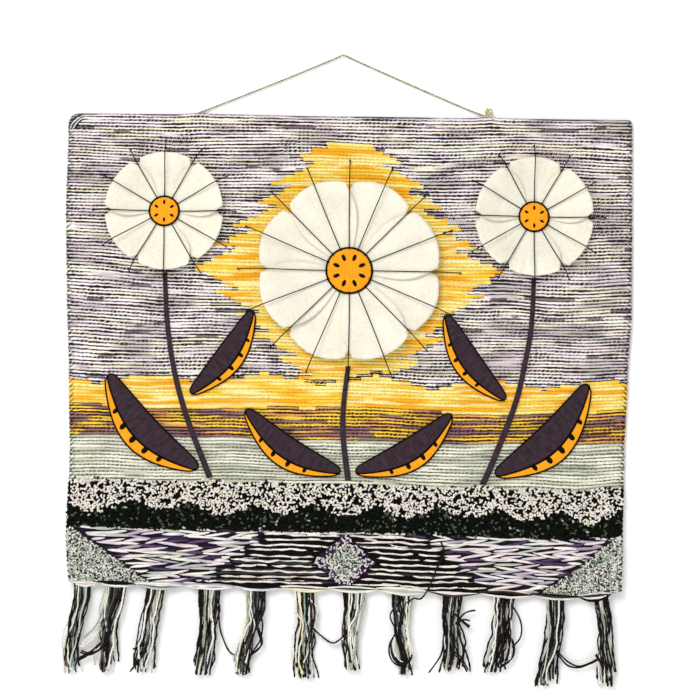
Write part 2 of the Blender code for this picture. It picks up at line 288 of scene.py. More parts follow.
class Wire:
    """A socket of a finish's nodes, on which maths is written as an expression."""

    def __init__(self, finish, socket):
        self.finish = finish
        self.socket = socket

    def maths(self, operation, *values):
        return self.finish.node("ShaderNodeMath", {"operation": operation}, dict(enumerate(values)))

    def __add__(self, other):
        return self.maths("ADD", self, other)

    def __sub__(self, other):
        return self.maths("SUBTRACT", self, other)

    def __rsub__(self, other):
        return self.maths("SUBTRACT", other, self)

    def __mul__(self, other):
        return self.maths("MULTIPLY", self, other)

    def __truediv__(self, other):
        return self.maths("DIVIDE", self, other)

    def __gt__(self, other):
        return self.maths("GREATER_THAN", self, other)

    def __lt__(self, other):
        return self.maths("LESS_THAN", self, other)

    __radd__ = __add__
    __rmul__ = __mul__

    def floor(self):
        return self.maths("FLOOR", self)

    def part(self):
        return self.maths("FRACT", self)

    def size(self):
        return self.maths("ABSOLUTE", self)

    def sine(self):
        return self.maths("SINE", self)

    def most(self, other):
        return self.maths("MAXIMUM", self, other)

    def rise(self, low, high, first=0.0, last=1.0):
        """Eases from first to last as this goes from low to high."""
        values = {"Value": self, "From Min": low, "From Max": high, "To Min": first, "To Max": last}
        return self.finish.node("ShaderNodeMapRange", {"interpolation_type": "SMOOTHSTEP"}, values)


class Finish:
    """A material and the nodes that make it."""

    def __init__(self, name, roughness, sheen=0.0):
        self.material = bpy.data.materials.new(name)
        self.material.use_nodes = True
        self.tree = self.material.node_tree
        self.shader = self.tree.nodes["Principled BSDF"]
        self.shader.inputs["Roughness"].default_value = roughness
        self.shader.inputs["Specular IOR Level"].default_value = 0.10
        self.shader.inputs["Sheen Weight"].default_value = sheen
        self.shader.inputs["Sheen Roughness"].default_value = 0.6

    def node(self, kind, settings, values, output=0):
        """Adds a node: its settings first, then a value or a wire for each socket named."""
        node = self.tree.nodes.new(kind)
        for key, value in settings.items():
            setattr(node, key, value)
        for key, value in values.items():
            self.join(value, node.inputs[key])
        return Wire(self, node.outputs[output])

    def join(self, value, socket):
        if isinstance(value, Wire):
            self.tree.links.new(value.socket, socket)
        else:
            socket.default_value = value

    def place(self, name="Object"):
        """Where a point is: on the object, or on the piece's own cloth or yarn as its UV map has it."""
        return self.node("ShaderNodeTexCoord", {}, {}, name)

    def apart(self, vector):
        """A vector's three numbers."""
        return [self.node("ShaderNodeSeparateXYZ", {}, {0: vector}, k) for k in range(3)]

    def together(self, x, y, z=0.0):
        return self.node("ShaderNodeCombineXYZ", {}, {0: x, 1: y, 2: z})

    def cloudy(self, vector, detail):
        """Smooth noise from 0 to 1."""
        return self.node("ShaderNodeTexNoise", {}, {"Vector": vector, "Scale": 1.0, "Detail": detail})

    def grain(self, scale, detail, place="Object"):
        """Smooth noise over a piece, finer along an axis with a greater scale."""
        fine = {0: self.place(place), 1: scale}
        return self.cloudy(self.node("ShaderNodeVectorMath", {"operation": "MULTIPLY"}, fine), detail)

    def blend(self, share, first, second):
        """The first colour where share is 0, the second where it is 1."""
        return self.node("ShaderNodeMix", {"data_type": "RGBA"}, {0: share, 6: first, 7: second}, 2)

    def shade(self, colour, share, low=0.75, high=1.15):
        """The colour, darker where share is 0 and lighter where it is 1."""
        grey = self.blend(share, (low, low, low, 1), (high, high, high, 1))
        settings = {"data_type": "RGBA", "blend_type": "MULTIPLY"}
        return self.node("ShaderNodeMix", settings, {0: 1.0, 6: colour, 7: grey}, 2)

    def wear(self, colour, height, depth):
        """Joins a colour, and a relief as deep as depth, to the shader."""
        self.join(colour, self.shader.inputs["Base Color"])
        bump = self.node("ShaderNodeBump", {}, {"Height": height, "Distance": depth, "Strength": 1.0})
        self.join(bump, self.shader.inputs["Normal"])
        return self.material


def paint(code):
    """A colour from its hexadecimal name, as the light that it reflects."""
    parts = [int(code[k : k + 2], 16) / 255 for k in (0, 2, 4)]
    return (*[c / 12.92 if c <= 0.04045 else ((c + 0.055) / 1.055) ** 2.4 for c in parts], 1)


CREAM, PALE_YELLOW, ROSY = paint("FFF8F1"), paint("FEF4D6"), paint("FBE9F0")
SMOKE, INK, INK_VIOLET = paint("8E7E85"), paint("0F0B12"), paint("30283F")
VIOLET, LAVENDER, AUBERGINE = paint("4E3A5C"), paint("94788C"), paint("45231F")
BROWN = paint("3B2107")
GOLD, DEEP_GOLD, LIGHT_GOLD = paint("FFD241"), paint("FCAE20"), paint("FFF39C")
STRAW, OCHRE, TAN = paint("FFF6C8"), paint("B97F1E"), paint("E3A164")
SAGE, PALE_SAGE, GREY_GREEN = paint("C9CBB4"), paint("F7F6E2"), paint("5F6152")
PILE_GROUND, LOWER_GROUND = paint("0D100B"), paint("1B1422")
CANVAS, FELT_DARK, FELT_GOLD = paint("F6F1DE"), paint("35272F"), paint("FBA31C")
# the third twine colour is painted shade for the groove between the twine's plies
TWINE, PALE_TWINE, PAINTED_GROOVE_SHADE = paint("B9B38F"), paint("F0E4B6"), paint("6A5427")

YARNS = {
    # name: colour, how far its flecks and, in plied yarn, the painted shade between its plies darken it
    "cream": (paint("F8F2E7"), 0.66),
    "pale_grey": (paint("EEE9EA"), 0.58),
    "yellow": (paint("EFE9BE"), 0.76),
    "blush": (paint("F3E2DD"), 0.66),
    "pink": (paint("EBDAE1"), 0.58),
    "sage": (paint("C2CAB8"), 0.70),
    "pale_green": (paint("97ADA0"), 0.70),
    "lavender": (paint("BDB0BE"), 0.54),
    "purple": (paint("5C4569"), 0.45),
    "violet": (paint("3A2E4A"), 0.50),
    "olive": (paint("545D48"), 0.55),
    "green": (paint("10180F"), 0.45),
    "grey": (paint("5A585A"), 0.55),
    "charcoal": (paint("3A3735"), 0.50),
    "soot": (paint("211D1A"), 0.50),
    "black": (paint("100D0B"), 0.50),
}
YARN_TWIST = 0.0042  # length of one turn of the plies
YARN_SHEEN = 0.05  # of white yarn; darker yarn has less


@cache
def plied_yarn(name):
    """Soft two-ply yarn with painted shade between its plies. Its UV map runs along the yarn in metres and
    once around it.
    """
    colour, low = YARNS[name]
    finish = Finish(f"{name}_plied_yarn", 0.92, YARN_SHEEN * colour[1])
    length, turn, _ = finish.apart(finish.place("UV"))
    # painted shade: the colour darkens where ply is low, in the groove between the two plies; ply also gives
    # the relief
    ply = (length * (tau / YARN_TWIST) + turn * (2 * tau)).sine() * 0.5 + 0.5
    fleck = finish.grain((800, 800, 800), 3.0)
    slow = finish.grain((110, 110, 70), 1.0)
    share = (ply * 0.45 + fleck * 0.7 + slow * 0.45 - 0.30).rise(0.1, 0.9)
    return finish.wear(finish.shade(colour, share, low, 1.16), ply * 0.6 + fleck * 0.4, 0.0004)


@cache
def loose_yarn(name):
    """Yarn with hardly any twist, which lies along the rows: its fibres run across the hanging."""
    colour, low = YARNS[name]
    finish = Finish(f"{name}_loose_yarn", 0.92, YARN_SHEEN * colour[1])
    fibre = finish.grain((55, 620, 760), 3.0)
    slow = finish.grain((50, 60, 260), 2.0)
    share = (fibre * 0.65 + slow * 0.35).rise(0.32, 0.62)
    tinted = finish.blend(slow.rise(0.52, 0.62) * (0.24 * colour[1]), colour, LAVENDER)
    return finish.wear(finish.shade(tinted, share, low, 1.10), fibre, 0.0008)


ROWS = 144
ROW = HEIGHT / ROWS  # one row of weft
FOOT = HEIGHT - ROW  # the weave's lower edge; the carried strands hang where its last row would be
DASH = 0.0047  # from one pair of warp ends to the next
HATCH = 0.0024  # from one slanting stroke to the next within a row
SELVEDGE_BEAD = 1.5 * ROW
MEDALLION_D, MEDALLION_HALF_A, MEDALLION_HALF_D = 0.168, 0.125, 0.140
MEDALLION_STEPS, MEDALLION_TOOTH = 6, 0.048
ZIGZAG, ZIGZAG_RISE = 0.122, 0.012
BAND_TOP, BAND_DUSK, BAND_SAGE = 0.282, 0.318, 0.352


def ground_finish(name, behind=False):
    """The weft-faced ground: rows of yarn in bands of colour, with dark lines, dashes and strokes between.

    Behind, the yarns that are carried there cross the rows that the pile and stitches hide in front."""
    finish = Finish(name, 0.93, 0.04)
    a, d, _ = finish.apart(finish.place("UV"))
    d = d + (finish.cloudy(finish.together(a * 170, d * 70, 1.0), 1.0) - 0.5) * 0.0013
    row = (d / ROW).floor()
    seam = (d / ROW + 0.5).floor()  # the furrow that is nearest
    middle = (row + 0.5) * ROW  # d at the middle of the row
    groove = 0.5 - ((d / ROW).part() - 0.5).size()  # 0 in a furrow, 0.5 on a crest
    fibre = finish.grain((420, 900, 1300), 3.0)
    speck = finish.cloudy(finish.together(a * 430, row * 9.3, 5.0), 1.0).rise(0.35, 0.65)

    def streak(line, stretch, seed, detail=1.0):
        """Noise that is drawn out along each row or furrow, and its own for every one."""
        return finish.cloudy(finish.together(a * stretch, line * 3.71 + seed, seed), detail)

    def lines(seed, thin, thick, whole=0.50):
        """1 in the dark furrows, which are a line here, dashes there and elsewhere hardly show."""
        weight = streak(seam, 26, seed, 2.0).rise(0.32, 0.68, thin, thick)
        weight = weight * streak(seam, 330, seed + 3).rise(0.30, 0.70, 0.70, 1.22)
        kind = streak(seam, 14, seed + 11)
        tick = (a / DASH + (d / ROW + 0.5).part() * 0.5 + streak(seam, 40, seed + 5) * 1.8).part()
        dash = (tick - 0.5).size().rise(0.48, 0.36)
        shown = kind.rise(whole, whole + 0.05).most(dash * kind.rise(0.28, 0.38))
        return (groove / weight).rise(1.20, 0.80) * shown

    mix = finish.blend
    slant = a / HATCH + groove * 1.5 + row * 0.37 + streak(row, 70, 3.3)
    hatch = (slant.part() - 0.5).size().rise(0.18, 0.28)
    haze = finish.cloudy(finish.together(a * 16, d * 46, 2.0), 2.0).rise(0.46, 0.62)
    ink = mix(speck, INK, INK_VIOLET)

    fill = mix(streak(row, 9, 1.3).rise(0.47, 0.60), CREAM, PALE_YELLOW)
    fill = mix(streak(row, 17, 7.7).rise(0.50, 0.60) * 0.8, fill, ROSY)
    upper = mix(hatch * (haze * 0.80 + 0.12), fill, SMOKE)
    upper = mix(lines(23.1, 0.15, 0.36), upper, ink)
    thick = streak(row, 16, 63.7).rise(0.69, 0.71)
    upper = mix(thick * (1 - hatch * 0.5), upper, ink)

    glow = mix(streak(row, 18, 31.7, 2.0).rise(0.42, 0.62), LIGHT_GOLD, GOLD)
    glow = mix(streak(row, 12, 15.5).rise(0.53, 0.63), glow, DEEP_GOLD)
    glow = mix(hatch * speck * 0.35, glow, DEEP_GOLD)
    glow = mix(lines(57.0, 0.12, 0.26, 0.60) * 0.50, glow, OCHRE)
    glow = mix((groove / 0.22).rise(1.1, 0.7) * streak(seam, 9, 70.1).rise(0.60, 0.64) * 0.85, glow, STRAW)

    dusk = mix(streak(row, 15, 77.9).rise(0.46, 0.58), GOLD, TAN)
    plum = (streak(row, 13, 91.3) + d.rise(BAND_DUSK, BAND_SAGE, 0.0, 0.10)).rise(0.57, 0.61)
    dusk = mix(plum * 0.85, dusk, mix(hatch, VIOLET, LAVENDER))
    dusk = mix(hatch * haze * 0.5, dusk, AUBERGINE)
    dusk = mix(lines(83.0, 0.19, 0.36, 0.47), dusk, mix(speck, BROWN, AUBERGINE))

    sage = mix(streak(row, 12, 33.3).rise(0.42, 0.62), PALE_SAGE, SAGE)
    sage = mix(hatch * (haze * 0.35 + 0.08), sage, GREY_GREEN)
    sage = mix(lines(37.0, 0.12, 0.30, 0.52) * 0.92, sage, GREY_GREEN)

    # the medallion, stepped like a fir tree: each step is drawn out to a tooth
    reach = (middle - MEDALLION_D).size() / MEDALLION_HALF_D * MEDALLION_STEPS
    tier = (1 - reach.floor() / MEDALLION_STEPS) * MEDALLION_HALF_A
    outline = tier + (1 - reach.part()) * MEDALLION_TOOTH + streak(row, 4, 5.1) * 0.030 - 0.021
    inside = outline - a.size()
    whole = (reach < MEDALLION_STEPS) * (middle < BAND_TOP - ZIGZAG_RISE)
    rim = (inside < 0) * (inside + (streak(row, 4, 88.0) - 0.50) * 0.12 > 0) * whole

    # the band's zigzag upper edge
    zig = ((a / ZIGZAG + 0.25).part() - 0.5).size() * (2 * ZIGZAG_RISE)
    edge = BAND_TOP + zig + (streak(row, 9, 19.4) - 0.5) * 0.005
    over = (middle > edge - ROW) * (middle < edge)

    colour = mix((inside > 0) * (reach < MEDALLION_STEPS), upper, glow)
    colour = mix(rim * (groove / 0.36).rise(1.2, 0.8), colour, ink)
    colour = mix(over * lines(64.0, 0.3, 0.5, 0.45), colour, ink)
    colour = mix(middle > edge, colour, glow)
    colour = mix(middle > BAND_DUSK + (streak(row, 12, 44.0) - 0.5) * 0.022, colour, dusk)
    colour = mix(middle > BAND_SAGE + (streak(row, 12, 48.0) - 0.5) * 0.006, colour, sage)
    pile_ground, lower_ground = PILE_GROUND, LOWER_GROUND
    if behind:
        carried = streak(row, 7, 27.7)
        pile_ground = mix(carried.rise(0.44, 0.48), PILE_GROUND, upper)
        lower_ground = mix(carried.rise(0.40, 0.44), mix(speck, VIOLET, LAVENDER), upper)
    colour = mix(middle > PILE_TOP + 0.0045, colour, pile_ground)
    colour = mix(middle > PILE_FOOT, colour, lower_ground)
    colour = mix((d < 0.55 * ROW) * streak(seam, 11, 12.0).rise(0.48, 0.54) * 0.85, colour, ink)

    margin = WIDTH / 2 - a.size()
    turn = d / SELVEDGE_BEAD + margin * 130 + streak(seam, 5, 9.9) * 0.8
    # painted shade: slanted dark gaps where the weft turns at each selvedge, darker nearer the edge
    selvedge_gap_shade = (turn.part() - 0.5).size().rise(0.24, 0.36) * margin.rise(0.0080, 0.0016)
    colour = finish.shade(colour, 1 - selvedge_gap_shade, 0.16, 1.0)
    colour = finish.shade(colour, fibre.rise(0.30, 0.70), 0.90, 1.17)
    relief = groove.rise(0.0, 0.42) * 0.5 + hatch * 0.2 + fibre * 0.3
    return finish.wear(colour, relief, 0.0009)


CANVAS_PITCH = 0.0016  # two threads of the canvas


def canvas_finish():
    """Plain cream cotton canvas: a fine even weave with slubs along both threads."""
    finish = Finish("cream_canvas", 0.93, 0.05)
    across, down, _ = finish.apart(finish.place("UV"))
    weave = (across * (tau / CANVAS_PITCH)).sine() * (down * (tau / CANVAS_PITCH)).sine() * 0.5 + 0.5
    weft = finish.grain((110, 620, 1), 2.0, "UV")
    warp = finish.grain((620, 110, 1), 2.0, "UV")
    cloud = finish.grain((30, 30, 30), 3.0)
    share = weave * 0.20 + weft * 0.30 + warp * 0.20 + cloud * 0.30
    colour = finish.shade(CANVAS, share.rise(0.34, 0.60), 0.84, 1.03)
    return finish.wear(colour, weave * 0.4 + weft * 0.4 + warp * 0.2, 0.0005)


def felt_finish(name, colour, low, high):
    """A pad wound with thread, side by side across the piece, as its own UV map has it."""
    finish = Finish(name, 0.88, 0.05)
    thread = finish.grain((640, 70, 1), 3.0, "UV")
    cloud = finish.grain((150, 150, 150), 3.0)
    share = (thread * 0.7 + cloud * 0.3).rise(0.32, 0.66)
    return finish.wear(finish.shade(colour, share, low, high), thread, 0.0007)


CORD_LAY = 0.0085  # one turn of the cord's two plies


def twine_finish(name, colour):
    """Two-ply jute twine, hairy and uneven, with painted brown shade in the groove between its plies."""
    finish = Finish(name, 0.95, 0.05)
    length, turn, _ = finish.apart(finish.place("UV"))
    fibre = finish.cloudy(finish.together(length * 260, turn * 14 + length * 900, 0), 3.0)
    patch = finish.cloudy(finish.together(length * 110, 0, 0), 1.0)
    share = (fibre * 0.55 + patch * 0.45).rise(0.34, 0.64)
    # painted shade: ply is low in the groove between the two plies, where the twine turns brown
    ply = ((turn - length * (1 / CORD_LAY)) * (2 * tau) + pi / 2).sine()
    deep = finish.blend(ply.rise(-1.0, 0.1), PAINTED_GROOVE_SHADE, colour)
    return finish.wear(finish.shade(deep, share, 0.45, 1.32), fibre, 0.0006)


# ---------------------------------------------------------------- making meshes


def add_mesh(name, points, faces, materials, slots=None, uvs=None):
    """A smooth piece at the origin. slots gives each face's material, uvs a pair for each face corner."""
    mesh = bpy.data.meshes.new(name)
    mesh.from_pydata(points, [], faces)
    for material in materials:
        mesh.materials.append(material)
    if slots is not None:
        mesh.polygons.foreach_set("material_index", np.asarray(slots, np.int32))
    if uvs is not None:
        layer = mesh.uv_layers.new(name="cloth")
        layer.data.foreach_set("uv", np.asarray(uvs, np.float32).ravel())
    mesh.shade_smooth()
    mesh.update()
    piece = bpy.data.objects.new(name, mesh)
    bpy.context.scene.collection.objects.link(piece)
    return piece


def dress(piece, slot, *nodes):
    """The piece hangs with the model and stands for these nodes, whose parts are hidden. slot is not used."""
    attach(piece, "root")
    if nodes:
        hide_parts(*nodes)
    return piece


def add_sheet(name, first, second, front, back, material, behind=None):
    """A closed sheet over a grid, between two surfaces that each give a place and its flat (across, down).
    Its back may have a material of its own."""
    columns, rows = len(first), len(second)
    points, flats = [], []
    for surface in (front, back):
        for v in second:
            for u in first:
                place, flat = surface(u, v)
                points.append(place)
                flats.append(flat)
    back_start = columns * rows
    faces, slots = [], []
    for j in range(rows - 1):
        for i in range(columns - 1):
            corner = j * columns + i
            faces.append((corner, corner + columns, corner + columns + 1, corner + 1))
            corner += back_start
            faces.append((corner, corner + 1, corner + columns + 1, corner + columns))
            slots += [0, 1 if behind else 0]
    rim = list(range(columns))
    rim += [j * columns + columns - 1 for j in range(1, rows)]
    rim += [(rows - 1) * columns + i for i in range(columns - 2, -1, -1)]
    rim += [j * columns for j in range(rows - 2, 0, -1)]
    for here, there in zip(rim, rim[1:] + rim[:1]):
        faces.append((here, there, there + back_start, here + back_start))
        slots.append(0)
    uvs = [flats[k] for face in faces for k in face]
    return add_mesh(name, points, faces, [material, behind] if behind else [material], slots, uvs)


class Skein:
    """Strands of yarn gathered into one piece, each a closed tube in one of its colours."""

    def __init__(self, name, materials):
        self.name = name
        self.materials = materials
        self.points, self.faces, self.slots, self.uvs = [], [], [], []

    def strand(self, path, radius, slot=0, sides=6, flatness=1.0, lobe=0.0, lay=YARN_TWIST):
        """A tube along the path. radius is a number or a function of the share of the length. flatness
        presses it against the cloth; lobe makes it two plies, twisted with that lay."""
        path = np.asarray(path, float)
        runs = np.diff(path, axis=0)
        lengths = np.concatenate([[0.0], np.cumsum(np.linalg.norm(runs, axis=1))])
        total = lengths[-1]
        ahead = np.gradient(path, axis=0)
        ahead /= np.linalg.norm(ahead, axis=1)[:, None]
        side = np.cross(ahead[0], (0.0, -1.0, 0.0))
        if np.linalg.norm(side) < 0.05:
            side = np.cross(ahead[0], (1.0, 0.0, 0.0))
        sideways, outwards = [], []
        for direction in ahead:
            side = side - direction * np.dot(side, direction)
            side /= np.linalg.norm(side)
            sideways.append(side)
            outwards.append(np.cross(side, direction))
        sideways, outwards = np.array(sideways), np.array(outwards)
        angles = np.arange(sides) * tau / sides
        size = np.array([radius(s / total) if callable(radius) else radius for s in lengths])
        wide = size[:, None] * np.ones(sides)
        if lobe:
            wide = wide * (1 - lobe + lobe * np.cos(2 * (angles[None, :] - tau * lengths[:, None] / lay)))
        rings = (
            path[:, None, :]
            + sideways[:, None, :] * (wide * np.cos(angles))[:, :, None]
            + outwards[:, None, :] * (wide * np.sin(angles) * flatness)[:, :, None]
        )
        start = len(self.points)
        self.points.extend(rings.reshape(-1, 3).tolist())
        turns = [k / sides for k in range(sides + 1)]
        last = len(path) - 1
        for i in range(last):
            low, high = start + i * sides, start + (i + 1) * sides
            for k in range(sides):
                n = (k + 1) % sides
                self.faces.append((low + k, high + k, high + n, low + n))
                here, there = lengths[i], lengths[i + 1]
                self.uvs += [(here, turns[k]), (there, turns[k]), (there, turns[k + 1]), (here, turns[k + 1])]
        for ring, reverse, at in ((0, False, 0.0), (last, True, total)):
            corners = [start + ring * sides + k for k in range(sides)]
            self.faces.append(tuple(reversed(corners)) if reverse else tuple(corners))
            self.uvs += [(at, turns[k]) for k in range(sides)]
        self.slots += [slot] * (last * sides + 2)

    def copy_in(self, template, place, slot=0):
        """Adds a copy of a modelled shape, its points moved by a function."""
        points, faces, uvs = template
        start = len(self.points)
        self.points.extend(place(points).tolist())
        self.faces.extend([tuple(start + k for k in face) for face in faces])
        self.uvs.extend(uvs)
        self.slots.extend([slot] * len(faces))

    def finish(self):
        return add_mesh(self.name, self.points, self.faces, self.materials, self.slots, self.uvs)


TURNS = 300  # how many times round the yarn a metre across a modelled shape counts as


def take_shape(start=0.0):
    """The active object's points, faces and UVs, after which it is removed. The yarn runs along its X axis,
    and start is added to where it is read."""
    piece = bpy.context.object
    points = np.array([vert.co for vert in piece.data.vertices])
    faces = [tuple(face.vertices) for face in piece.data.polygons]
    uvs = [(points[k][0] + start, points[k][1] * TURNS) for face in faces for k in face]
    bpy.data.objects.remove(piece)
    return points, faces, uvs


def pick(shares, chance):
    """The place of the share that holds a chance from 0 to 1."""
    for place, share in enumerate(shares):
        chance -= share
        if chance < 0:
            return place
    return len(shares) - 1


# ---------------------------------------------------------------- the hanging cord


def smooth_route(route, step):
    """The route read at even steps from a smooth curve through its own points."""
    ends = [route[0], *route, route[-1]]
    read = []
    for before, here, there, after in zip(ends, ends[1:], ends[2:], ends[3:]):
        count = max(1, round(dist(here, there) / step))
        for i in range(count):
            t = i / count
            read.append(
                [
                    q + 0.5 * t * (r - p + t * (2 * p - 5 * q + 4 * r - s + t * (3 * (q - r) + s - p)))
                    for p, q, r, s in zip(before, here, there, after)
                ]
            )
    return [*read, list(route[-1])]


KNOT = (0.1578, -0.0037, -0.0628)
CORD_STEP = 0.0009  # from one ring of the twine to the next
PLY_LOBE = 0.17  # how much the two plies stand out from the twine's round


def add_cord():
    """The two-ply twine from the top edge over the nail and back, and its knot."""
    path = smooth_route([(x, CORD_Y, z) for x, z in ROUTE], CORD_STEP)
    twine = twine_finish("jute_twine", TWINE)
    pale = twine_finish("pale_twine", PALE_TWINE)
    cord = Skein("twisted_cord", [twine])
    cord.strand(path, CORD / 2 * 0.9, sides=12, lobe=PLY_LOBE, lay=CORD_LAY)
    cord = dress(cord.finish(), "jute_twine", "hanging_cord")

    # an overhand knot on the top edge, its loop standing up and its tail tucked down
    x, y, z = KNOT
    route = [
        (x - 0.0058, CORD_Y, z - 0.0031),
        (x - 0.0022, y - 0.0010, z - 0.0026),
        (x + 0.0022, y - 0.0016, z - 0.0004),
        (x + 0.0026, y - 0.0006, z + 0.0032),
        (x - 0.0004, y + 0.0004, z + 0.0042),
        (x - 0.0026, y + 0.0008, z + 0.0018),
        (x - 0.0014, y + 0.0006, z - 0.0014),
        (x + 0.0016, y - 0.0010, z - 0.0026),
        (x + 0.0030, y - 0.0014, z - 0.0002),
        (x + 0.0008, y - 0.0018, z + 0.0022),
        (x - 0.0012, y - 0.0010, z + 0.0002),
        (x + 0.0010, y - 0.0004, z - 0.0036),
        (x + 0.0046, y - 0.0016, z - 0.0072),
        (x + 0.0086, y - 0.0016, z - 0.0098),
    ]
    knot = Skein("twisted_knot", [pale])

    def girth(share):
        return CORD / 2 * (1.08 - 0.50 * ease((share - 0.72) / 0.28))

    knot.strand(smooth_route(route, CORD_STEP), girth, sides=10, lobe=PLY_LOBE, lay=CORD_LAY)
    rng = Random(5)
    for _ in range(14):  # jute hairs that stand off the knot and the cord's end
        base = Vector((x + rng.uniform(-0.003, 0.003), y - 0.001, z + rng.uniform(-0.003, 0.003)))
        reach = Vector((rng.uniform(-1, 1), rng.uniform(-0.5, 0), rng.uniform(-0.7, 1))) * 0.0042
        knot.strand([base, base + reach * 0.5, base + reach + Vector((0, 0, -0.0006))], 0.00012, sides=3)
    knot = dress(knot.finish(), "jute_twine", "cord_knot")


# ---------------------------------------------------------------- the ground


CREST = 0.0009  # from a furrow between two rows to a row's crest
ROW_WANDER = 0.0042
LEAN_RISE, LEAN_FROM, LEAN_FOOT = 0.0080, 0.160, 0.270  # the rows rise towards the left edge, above the band
CORD_ENDS = (across_at(ROUTE[0][0], 0.0), across_at(ROUTE[-1][0] + 0.006, 0.0))  # the cord draws the rows up


def wander(a, d):
    """How far a row of weft wanders down from a straight line."""
    fade = ease(d / 0.04) * ease((HEIGHT - d) / 0.04)
    slow = drift(a * 6.5, d * 11, 0)
    quick = drift(a * 20, d * 34, 4)
    lean = LEAN_RISE * ease((-a - LEAN_FROM) / 0.14) * sin(pi * min(1.0, d / LEAN_FOOT))
    pull = sum(exp(-(((a - end) / 0.013) ** 2) - (d / 0.018) ** 2) for end in CORD_ENDS)
    return ROW_WANDER * fade * (slow + 0.32 * quick) - lean - 0.0013 * pull


def add_ground():
    """The woven ground: a crest for each row of weft on both faces, and beads down the selvedges."""
    edge = WIDTH / 2
    margins = (0.0, 0.0008, 0.0022, 0.0045, 0.0075)
    first = [m - edge for m in margins] + steps(0.0125 - edge, edge - 0.0125, 70)
    first += [edge - m for m in reversed(margins)]
    second = []
    for row in range(ROWS - 1):
        count = 4 if row * ROW < PILE_TOP else 2
        second += [(row + k / count) * ROW for k in range(count)]
    second.append(FOOT)

    def face(front):
        def surface(a, d):
            crest = sin(pi * ((d / ROW + 1e-6) % 1.0)) ** 0.7
            rim = edge - abs(a)
            full = 0.5 + 0.5 * ease(rim / 0.004) ** 0.5
            bead = 0.0006 * cos(tau * d / SELVEDGE_BEAD) * ease(1 - rim / 0.005)
            thick = WEAVE + 0.5 * (thickness(a, d) - WEAVE)
            soft = 0.0003 * (0.5 + drift(a * 30, d * 30, 9))
            low, high = CREST * (1 - crest), thick - CREST * (1 - crest) - soft
            middle = (low + high) / 2
            out = middle + ((high if front else low) - middle) * full
            place = on_cloth(a, d, out)
            place.x += bead if a > 0 else -bead
            place.z -= wander(a, d)
            return place, (a, d)

        return surface

    finish, behind = ground_finish("woven_ground"), ground_finish("woven_back", behind=True)
    ground = add_sheet("woven_ground", first, second, face(True), face(False), finish, behind)
    dress(ground, "woven_yarn", "panel")


# ---------------------------------------------------------------- pile


LOOP_YARN = 0.00100  # the yarn's radius in a loop of pile
LOOP_HALF = 0.0011  # half its span
LOOP_PITCH = 0.0028
FINE = 0.78  # how much smaller and closer the speckled pile's loops are
BORDER_WAVE, BORDER_WAVES = 0.0130, 9  # the cream pile's scalloped border with the green


def make_loop():
    """One loop of pile: half a ring of yarn, its crown up along Z."""
    bpy.ops.mesh.primitive_circle_add(vertices=5, radius=LOOP_YARN, location=(LOOP_HALF, 0, 0))
    bpy.ops.object.mode_set(mode="EDIT")
    bpy.ops.mesh.spin(steps=4, angle=pi, center=(0, 0, 0), axis=(0, 1, 0))
    bpy.ops.mesh.select_all(action="SELECT")
    bpy.ops.mesh.fill_holes(sides=0)
    bpy.ops.mesh.normals_make_consistent(inside=False)
    bpy.ops.object.mode_set(mode="OBJECT")
    bpy.ops.object.transform_apply(location=True, rotation=True, scale=True)
    return take_shape()


def border(a):
    """d of the scalloped line where the cream pile gives way to the green."""
    scallop = abs(sin(pi * (a / WIDTH * BORDER_WAVES + 0.5)))
    lean = 0.007 * drift(a * 12, 3, 0)
    return 0.4300 + BORDER_WAVE * (scallop - 0.6) + lean


LOZENGE_D, LOZENGE_HALF_A, LOZENGE_HALF_D = 0.4855, 0.034, 0.030


def lozenge(a, d):
    """Above 0 within the pile lozenge in the middle of the lower border."""
    return 1 - abs(a) / LOZENGE_HALF_A - abs(d - LOZENGE_D) / LOZENGE_HALF_D


PILES = {
    # name: the colours, each with its share of the loops
    "cream_pile": {"cream": 0.51, "blush": 0.11, "yellow": 0.03, "black": 0.35},
    "green_pile": {"green": 0.62, "black": 0.22, "olive": 0.145, "sage": 0.015},
    "speckled_pile": {"cream": 0.42, "sage": 0.34, "pale_green": 0.10, "grey": 0.14},
    "rosy_pile": {"pink": 0.56, "violet": 0.30, "purple": 0.14},
}
DARK_YARNS = ("black", "violet")  # these loops lie lower


def pile_at(a, d):
    """The name of the pile at a place on the cloth, or nothing where the weave shows."""
    if in_corner(a, d) > 0.02 and d > PILE_FOOT:
        return "speckled_pile"
    if PILE_TOP + 0.0020 + 0.004 * drift(a * 30, 6, 0) < d < PILE_FOOT:
        return "cream_pile" if d < border(a) else "green_pile"
    if lozenge(a, d) > 0.28:
        return "speckled_pile"
    return "rosy_pile" if lozenge(a, d) > 0 else None


